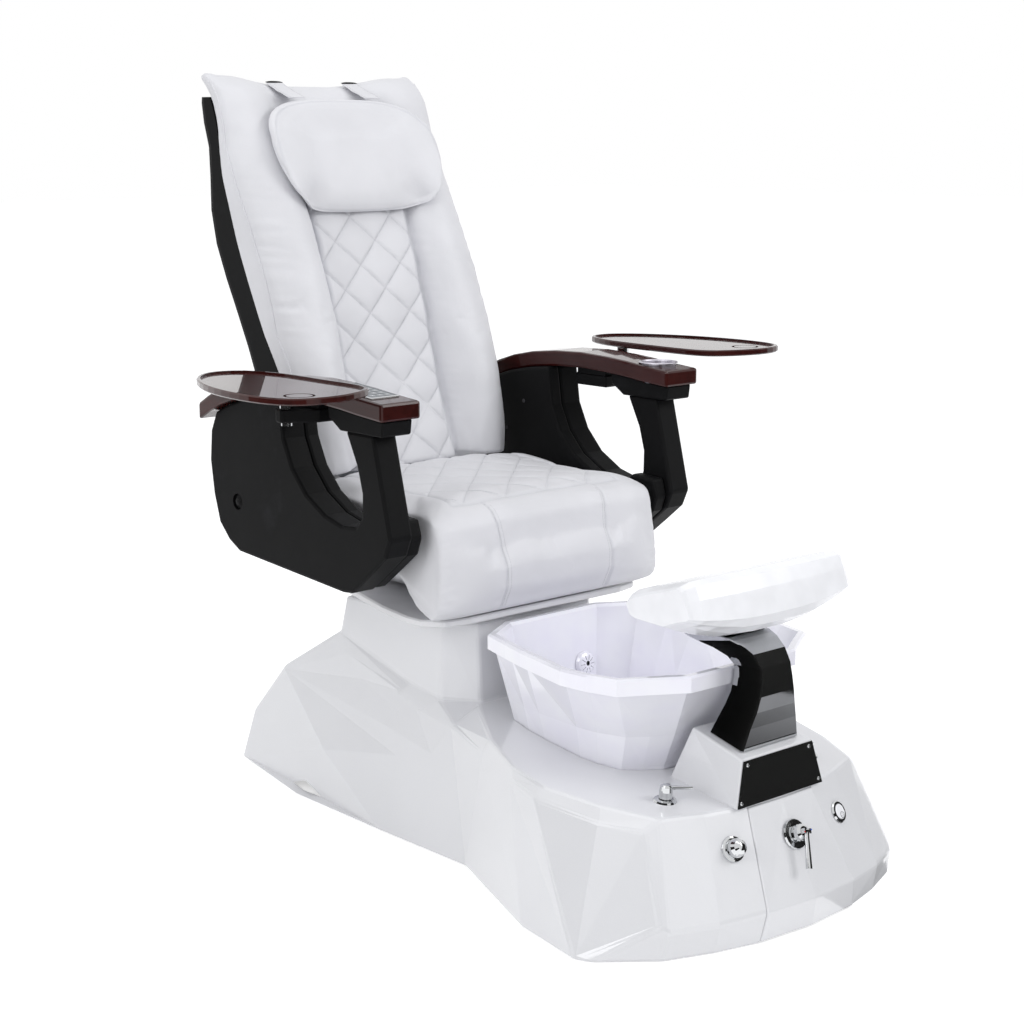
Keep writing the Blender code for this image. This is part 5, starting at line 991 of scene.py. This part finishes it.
class SPA_OT_pillow(bpy.types.Operator):
    """Head pillow with its straps and their slots"""
    bl_idname = "spa_chair.pillow"
    bl_label = "Pillow and Straps"

    def execute(self, context):
        sizes, look = context.scene.spa_chair_sizes, finishes()
        low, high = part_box("head_pillow")
        piece = soft_start("head_pillow", "pillow_cover", 0.0045, sizes.swell * 0.25, 30)

        def held(p):
            plane = low.y + 0.045 + (p[:, 2] - low.z) * 0.262
            return rise(p[:, 1] - plane, -0.004, 0.006)

        swell(piece, 4.0, sizes.swell * 0.8, held)
        relax(piece.data, 12)
        mesh = finer(piece)
        points = spots(mesh)
        middle, across, tall = (low + high) / 2, (high.x - low.x) / 2, (high.z - low.z) / 2
        u = (points[:, 0] - middle.x) / across
        v = (points[:, 2] - middle.z) / tall
        reach = np.maximum(super_round(points, middle, across, tall), 1e-6)
        push = 1.0 + rise(reach, 0.55, 0.95) * (1.015 / np.maximum(reach, 0.80) - 1.0) * 0.75
        points[:, 0] = middle.x + u * across * np.clip(push, 0.95, 1.16)
        points[:, 2] = middle.z + v * tall * np.clip(push, 0.95, 1.10)
        put(mesh, points)

        def sewing(p, n):
            round_it = super_round(p, middle, across, tall)
            front = rise(-n[:, 1], -0.1, 0.2)
            seam = dip((round_it - 0.965) / 0.016, 1.0) * front
            pucker = ripple(p[:, 0] + p[:, 2] * 0.7, p[:, 2], 41, 0.022, 0.07)
            pucker *= rise(round_it, 0.75, 0.95) * front
            dent = ripple(p[:, 0], p[:, 2], 43, 0.14, 0.2) * front
            # painted shade along the pillow's edge seam
            return -0.0012 * seam + 0.0003 * pucker + 0.0005 * dent, 0.35 * seam

        stitch_in(mesh, sewing)
        upholstered(piece, "head_pillow", "back", look["white_leather"])

        thread = bmesh.new()
        for side, _ in SIDES:
            ribbon(side, sizes, look, thread)
        shown("strap_thread", thread, look["white_thread"], "back")
        return {"FINISHED"}


# ---------------------------------------------------------------- small trim
def flat_face(node, way):
    """Middle and outward normal of the node's broadest flat stretch that looks along way."""
    mesh, way = NODES[node].data, Vector(way).normalized()
    sums = {}
    for face in mesh.polygons:
        if face.normal.dot(way) > 0.80:
            key = tuple(round(c, 2) for c in face.normal)
            area, centre, normal = sums.get(key, (0.0, Vector(), Vector()))
            sums[key] = (area + face.area, centre + face.center * face.area, normal + face.normal * face.area)
    area, centre, normal = max(sums.values(), key=lambda s: s[0])
    return centre / area, normal.normalized()


def face_place(centre, normal, along):
    """A placing matrix: Z out of the face, Y along the given way in it."""
    z = normal.normalized()
    y = (Vector(along) - z * Vector(along).dot(z)).normalized()
    x = y.cross(z)
    return Matrix.Translation(centre) @ Matrix((x, y, z)).transposed().to_4x4()


SCREW_HEAD = [(0.0, 0.0004), (0.30, 0.0004), (0.34, 0.0013), (0.62, 0.0012), (0.88, 0.0008), (1.0, 0.0002),
              (1.0, -0.0004), (0.0, -0.0004)]


def screw(bm, place, radius=0.0034):
    """A small button-head screw with its socket."""
    spin(bm, [(r * radius, h * radius / 0.0034) for r, h in SCREW_HEAD], place, 18)


class SPA_OT_keypad(bpy.types.Operator):
    """Membrane keys on the remote keypad"""
    bl_idname = "spa_chair.keypad"
    bl_label = "Keypad Keys"

    def execute(self, context):
        look = finishes()
        centre, normal = flat_face("keypad_panel", (0, 0, 1))
        place = face_place(centre, normal, (0, 1, 0))
        low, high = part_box("keypad_panel")
        long, wide = high.y - low.y, high.x - low.x
        keys, marks = bmesh.new(), bmesh.new()
        for row in range(5):
            for column in range(3):
                at = Vector(((column - 1) * wide * 0.295, (row - 2) * long * 0.150 - long * 0.09, GAP))
                size = (wide * 0.115, long * 0.048)
                here = place @ Matrix.Translation(at) @ Matrix.Diagonal((*size, 1.0, 1.0))
                spin(keys, [(0.0, 0.0010), (0.55, 0.00095), (0.85, 0.0007), (1.0, 0.0), (0.0, -0.0002)],
                     here, 24)
                dot = place @ Matrix.Translation(at + Vector((0, 0, 0.0009)))
                spin(marks, [(0.0, 0.0003), (0.0010, 0.0002), (0.0013, 0.0)], dot, 12)
        window = place @ Matrix.Translation((0, long * 0.385, GAP)) @ Matrix.Diagonal(
            (wide * 0.36, long * 0.070, 1.0, 1.0))
        spin(keys, [(0.0, 0.0006), (0.80, 0.0006), (0.95, 0.0004), (1.0, 0.0), (0.0, -0.0002)], window, 32)
        shown("keypad_keys", keys, look["button_grey"], "right_arm")
        shown("keypad_marks", marks, look["gloss_white"], "right_arm")
        return {"FINISHED"}


ARM_SCREWS = ((0.385, 0.735), (0.290, 0.640), (0.090, 0.618), (0.020, 0.780), (0.330, 0.800))    # y, z
ARM_STOP = (0.372, 0.60, 0.744)     # where the left arm's rubber stop is looked for, from behind
STOP_SHAPE = [(0.0, 0.0135), (0.0050, 0.0130), (0.0068, 0.0105), (0.0072, 0.0060), (0.0052, 0.0045),
              (0.0050, 0.0015), (0.0085, 0.0008), (0.0085, 0.0), (0.0, 0.0)]
SHELL_SCREW_X = 0.205
SHELL_SCREW_HEIGHTS = (0.760, 0.980, 1.200, 1.400)


def plate_screws(look):
    """One screw in each corner of the front plate."""
    centre, normal = flat_face("front_plate", (0, -1, 0.4))
    place = face_place(centre, normal, (0, 0.4, 1))
    back = place.inverted()
    corners = [back @ v.co for v in NODES["front_plate"].data.vertices]
    corners = [c for c in corners if abs(c.z) < 0.0012]
    bm = bmesh.new()
    for sx in (-1, 1):
        for sy in (-1, 1):
            tip = max(corners, key=lambda c: sx * c.x + sy * c.y)
            spot = Vector((tip.x - sx * 0.0095, tip.y - sy * 0.0085, 0.0003))
            screw(bm, place @ Matrix.Translation(spot), 0.0036)
    shown("plate_screws", bm, look["chrome"], "base")


def arm_fasteners(side, sign, look):
    """The screws that hold an arm's two shells together, and the rubber stop behind it."""
    bm = bmesh.new()
    arm = surface_of(NODES[f"{side}_arm_inner_shell"])
    for y, z in ARM_SCREWS:
        spot = on_surface(arm, (0.0, y, z), (sign, 0, 0), 0.0003)
        if spot is not None:
            screw(bm, Matrix.Translation(spot) @ turn_to((-sign, 0, 0)), 0.0042)
    if bm.verts:
        shown(f"{side}_arm_screws", bm, look["knob_grey"], f"{side}_arm")
    else:
        bm.free()
    shell = surface_of(NODES[f"{side}_arm_outer_shell"])
    spot = on_surface(shell, (sign * ARM_STOP[0], *ARM_STOP[1:]), (0, -1, 0), 0.0002)
    if spot is not None:
        bm = bmesh.new()
        spin(bm, STOP_SHAPE, Matrix.Translation(spot) @ turn_to((0, 1, 0)), 28)
        shown(f"{side}_arm_stop", bm, look["knob_grey"], f"{side}_arm")


def back_shell_screws(look):
    """Two rows of screws up the rear of the back shell."""
    bm = bmesh.new()
    shell = surface_of(NODES["back_shell"])
    for z in SHELL_SCREW_HEIGHTS:
        for sign in (-1, 1):
            spot, normal, _, _ = shell.ray_cast(Vector((sign * SHELL_SCREW_X, 1.2, z)), Vector((0, -1, 0)))
            if spot is not None:
                screw(bm, face_place(spot + normal * 0.0003, normal, (0, 0, 1)), 0.0045)
    shown("back_shell_screws", bm, look["zinc_steel"], "back")


class SPA_OT_fasteners(bpy.types.Operator):
    """Screws on the front plate, the arms and the back shell"""
    bl_idname = "spa_chair.fasteners"
    bl_label = "Screws and Stops"

    def execute(self, context):
        look = finishes()
        plate_screws(look)
        for side, sign in SIDES:
            arm_fasteners(side, sign, look)
        back_shell_screws(look)
        return {"FINISHED"}


STRAINER_RINGS = ((1, 0.0), (6, 0.0075), (12, 0.0150))      # holes in each ring and its radius
JET_SLOTS = 10
JET_SLOT_SPAN = (0.0085, 0.0175)    # how far from the middle a slot starts and ends
TAP_DOT_SHIFT = 0.0088      # how far the hot and cold dots stand from the lever's middle


def strainer_hole_shade(look):
    """Rings of black discs on the drain's strainer: painted shade where its holes are."""
    low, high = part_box("drain_strainer")
    middle = (low + high) / 2
    bm = bmesh.new()
    strainer = surface_of(NODES["drain_strainer"])
    for count, radius in STRAINER_RINGS:
        for k in range(count):
            turn = math.tau * k / count
            x, y = middle.x + radius * math.cos(turn), middle.y + radius * math.sin(turn)
            spot, normal, _, _ = strainer.ray_cast(Vector((x, y, 1.0)), Vector((0, 0, -1)))
            spin(bm, [(0.0, 0.0002), (0.0013, 0.0002), (0.0017, 0.0)],
                 face_place(spot + normal * 0.00005, normal, (0, 1, 0.01)), 12)
    shown("strainer_hole_shade", bm, look["slot_black"], "base")


def jet_slot_shade(look):
    """Slots round the jet cover as grey strokes of painted shade, each laid where its two ends meet the
    cover.
    """
    bm = bmesh.new()
    cover = surface_of(NODES["jet_cover"])
    low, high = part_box("jet_cover")
    centre = (low + high) / 2
    for k in range(JET_SLOTS):
        turn = math.tau * k / JET_SLOTS
        ends = []
        for radius in JET_SLOT_SPAN:
            at = centre + Vector((radius * math.cos(turn), 0, radius * math.sin(turn)))
            spot, normal, _, _ = cover.ray_cast(Vector((at.x, -0.40, at.z)), Vector((0, 1, 0)))
            ends.append(spot + normal * 0.0001 if spot else None)
        if all(ends):
            pill(bm, ends[0], ends[1], 0.0007, sides=8)
    shown("jet_slot_shade", bm, look["slot_grey"], "base")


def jet_switch_mark(look):
    """A ring and three dots on the jet switch's button."""
    centre, normal = flat_face("jet_switch_button", (0, -1, 0.5))
    place = face_place(centre, normal, (0, 0.5, 1))
    bm = bmesh.new()
    spin(bm, [(0.0052, 0.0001), (0.0054, 0.0004), (0.0058, 0.0004), (0.0060, 0.0001)], place, 32)
    for k in range(3):
        turn = math.tau * (k / 3 + 0.25)
        spot = place @ Matrix.Translation((0.0026 * math.cos(turn), 0.0026 * math.sin(turn), 0.0001))
        spin(bm, [(0.0, 0.0003), (0.0006, 0.0002), (0.0008, 0.0)], spot, 10)
    shown("jet_switch_mark", bm, look["knob_grey"], "jet_button")


def tap_dots(look):
    """A red and a blue dot on the mixer, to either side of its lever."""
    centre, normal = flat_face("mixer_turret", (0, -0.9, 0.44))
    place = face_place(centre, normal, (0, 0.4, 1))
    for word, shift in (("hot_red", -TAP_DOT_SHIFT), ("cold_blue", TAP_DOT_SHIFT)):
        bm = bmesh.new()
        spin(bm, [(0.0, 0.0005), (0.0012, 0.0004), (0.0016, 0.0)],
             place @ Matrix.Translation((shift, 0.0, 0.0001)), 16)
        shown(f"mixer_dot_{word[:3]}", bm, look[word], "mixer_body")


class SPA_OT_water_trim(bpy.types.Operator):
    """Strainer holes, jet slots, the mark on the jet switch and the tap dots"""
    bl_idname = "spa_chair.water_trim"
    bl_label = "Water Fittings"

    def execute(self, context):
        look = finishes()
        for lay_on in (strainer_hole_shade, jet_slot_shade, jet_switch_mark, tap_dots):
            lay_on(look)
        return {"FINISHED"}


# ---------------------------------------------------------------- stage
CAMERA_PLACE = (-2.65, -2.91, 1.40)
CAMERA_TURN = -42.1         # degrees from +Y, towards -X
CAMERA_DIP = 10.95          # degrees below level
CAMERA_LENS = 70.77         # millimetres on a 36 mm sensor
SOFT_LIGHT = 0.62           # strength of the light that comes from all round
FLOOR_GLOW = 0.50           # what makes the lit floor white where it is seen
SHOWN_RAYS = ("Is Camera Ray", "Is Glossy Ray", "Is Transmission Ray")     # these see the pale background
LAMPS = (                   # place, what they face, size, power in watts
    ("key_light", (2.6, -4.2, 3.4), (0.0, 0.0, 0.7), (2.4, 2.0), 94.0),
    ("top_light", (-0.4, 0.3, 4.2), (0.0, 0.0, 0.5), (3.2, 3.2), 28.0),
    ("side_light", (-4.4, -0.6, 2.4), (0.0, 0.0, 0.6), (1.6, 2.6), 56.0))
FLATS = (                   # cards that only glossy surfaces see: place, what they face, half size, paint
    ("front_flat", (0.70, -1.30, 0.56), (0.0, -0.68, 0.56), (0.85, 0.58), "black"),
    ("floor_flat", (0.52, -1.06, 0.004), (0.52, -1.06, 1.0), (0.42, 0.36), "grey"),
    ("left_flat", (-3.60, 0.40, 1.10), (0.0, 0.40, 1.10), (3.00, 1.15), "black"),
    ("camera_flat", (-2.60, -4.40, 1.30), (0.0, 0.0, 1.30), (1.60, 1.30), "black"),
    ("column_flag", (-0.071, -0.620, 0.405), (0.127, -0.620, 0.373), (0.080, 0.100), "black"))


def seen(nodes):
    """1 or more for the rays that see the pale background, 0 for those that light the chair."""
    rays = nodes.node("ShaderNodeLightPath")
    first, *others = (Socket(nodes, rays.outputs[word]) for word in SHOWN_RAYS)
    return sum(others, first)


def aimed(place, aim, front):
    """The rotation that turns a thing's front axis from its place to what it faces."""
    return (Vector(aim) - Vector(place)).to_track_quat(front, "Y").to_euler()


def stage_sheet(name, material, half, cuts=1):
    """A flat square sheet, not yet in the scene; half is from its middle to its edge."""
    bm = bmesh.new()
    bmesh.ops.create_grid(bm, x_segments=cuts, y_segments=cuts, size=half)
    mesh = bpy.data.meshes.new(name)
    bm.to_mesh(mesh)
    bm.free()
    mesh.materials.append(material)
    return bpy.data.objects.new(name, mesh)


def camera(scene):
    """The camera, three-quarters from the sitter's right and a little above."""
    data = bpy.data.cameras.new("camera")
    data.lens = CAMERA_LENS
    data.sensor_width = 36.0
    made = bpy.data.objects.new("camera", data)
    made.location = CAMERA_PLACE
    made.rotation_euler = (math.radians(90.0 - CAMERA_DIP), 0.0, math.radians(CAMERA_TURN))
    scene.collection.objects.link(made)
    scene.camera = made


def studio_world(scene):
    """White where it is seen, softer where it lights the chair."""
    scene.world = bpy.data.worlds.new("studio")
    sky = Nodes(scene.world)
    soft = sky.read("ShaderNodeBackground", None, {"Color": (0.97, 0.98, 1.0, 1.0), "Strength": SOFT_LIGHT})
    plain = sky.read("ShaderNodeBackground", None, {"Color": (1.0, 1.0, 1.0, 1.0), "Strength": 1.0})
    sky.node("ShaderNodeOutputWorld", None, {
        "Surface": sky.read("ShaderNodeMixShader", None, {0: seen(sky), 1: soft, 2: plain})})


def paper_floor(scene):
    """Pale paper that glows only where it is seen, and so keeps the chair's shadow."""
    paper = Finish("white_paper", Roughness=0.9)
    paper.feed("Base Color", paper.tint((0.90, 0.90, 0.90, 1), (0.885, 0.885, 0.885, 1),
                                        paper.noise(3.0)))
    glow = paper.read("ShaderNodeEmission", None, {"Color": (1, 1, 1, 1), "Strength": FLOOR_GLOW})
    both = paper.read("ShaderNodeAddShader", None, {0: paper.shaded, 1: glow})
    lit = paper.read("ShaderNodeMixShader", None, {0: seen(paper), 1: paper.shaded, 2: both})
    paper.tree.links.new(lit.output, paper.end.inputs["Surface"])
    floor = stage_sheet("floor", paper.material, 30.0, 8)
    floor.location.z = CAD_BOX[0][2] - 0.0005
    scene.collection.objects.link(floor)


def lamps(scene):
    """Three large soft lamps: the main one in front, one above and one at the side."""
    for name, place, aim, size, power in LAMPS:
        lamp = bpy.data.lights.new(name, "AREA")
        lamp.shape = "RECTANGLE"
        lamp.size, lamp.size_y = size
        lamp.energy = power
        light = bpy.data.objects.new(name, lamp)
        light.location = place
        light.rotation_euler = aimed(place, aim, "-Z")
        scene.collection.objects.link(light)


def reflection_cards(scene):
    """Dark cards that show in glossy surfaces alone and neither light nor shade the chair."""
    fade = Finish("card_grey", Roughness=1.0)
    away = fade.part("X", fade.place) - fade.part("Y", fade.place)
    fade.feed("Base Color", fade.tint((0.34, 0.34, 0.35, 1.0), (0.03, 0.03, 0.03, 1.0),
                                      away.step(-0.9, 0.9)))
    paints = {"black": Finish("card_black", Roughness=1.0, Base_Color=(0.011, 0.011, 0.010, 1.0)).material,
              "grey": fade.material}
    for name, place, aim, size, paint in FLATS:
        card = stage_sheet(name, paints[paint], 1.0)
        card.location = place
        card.scale = (*size, 1.0)
        card.rotation_euler = aimed(place, aim, "Z")
        card.visible_camera = False
        card.visible_diffuse = False
        card.visible_shadow = False
        card.visible_transmission = False
        scene.collection.objects.link(card)


class SPA_OT_stage(bpy.types.Operator):
    """Pale floor, soft studio light and the camera"""
    bl_idname = "spa_chair.stage"
    bl_label = "Stage, Light and Camera"

    def execute(self, context):
        context.scene.view_settings.view_transform = "Standard"
        for lay_out in (camera, studio_world, paper_floor, lamps, reflection_cards):
            lay_out(context.scene)
        return {"FINISHED"}


# ---------------------------------------------------------------- add-on
STEPS = ("stage", "finish_frame", "back_cushion", "quilted_panel", "seat_cushion", "pillow", "keypad",
         "fasteners", "water_trim")


class SPA_PT_panel(bpy.types.Panel):
    """Sizes, colours and pieces of the spa chair"""
    bl_idname = "SPA_PT_panel"
    bl_label = "Spa Chair"
    bl_space_type = "VIEW_3D"
    bl_region_type = "UI"
    bl_category = "Spa Chair"

    def draw(self, context):
        column = self.layout.column()
        for group in (context.scene.spa_chair_sizes, context.scene.spa_chair_colours):
            for word in group.__annotations__:
                column.prop(group, word)
        for step in STEPS:
            column.operator("spa_chair." + step)


CLASSES = (SpaChairSizes, SpaChairColours, SPA_OT_finish_frame, SPA_OT_back_cushion,
           SPA_OT_quilted_panel, SPA_OT_seat_cushion, SPA_OT_pillow, SPA_OT_keypad, SPA_OT_fasteners,
           SPA_OT_water_trim, SPA_OT_stage, SPA_PT_panel)


def register():
    for part in CLASSES:
        bpy.utils.register_class(part)
    bpy.types.Scene.spa_chair_sizes = PointerProperty(type=SpaChairSizes)
    bpy.types.Scene.spa_chair_colours = PointerProperty(type=SpaChairColours)


def unregister():
    del bpy.types.Scene.spa_chair_colours
    del bpy.types.Scene.spa_chair_sizes
    for part in reversed(CLASSES):
        bpy.utils.unregister_class(part)


def main():
    register()
    for step in STEPS:
        getattr(bpy.ops.spa_chair, step)()


if __name__ == "__main__":
    main()
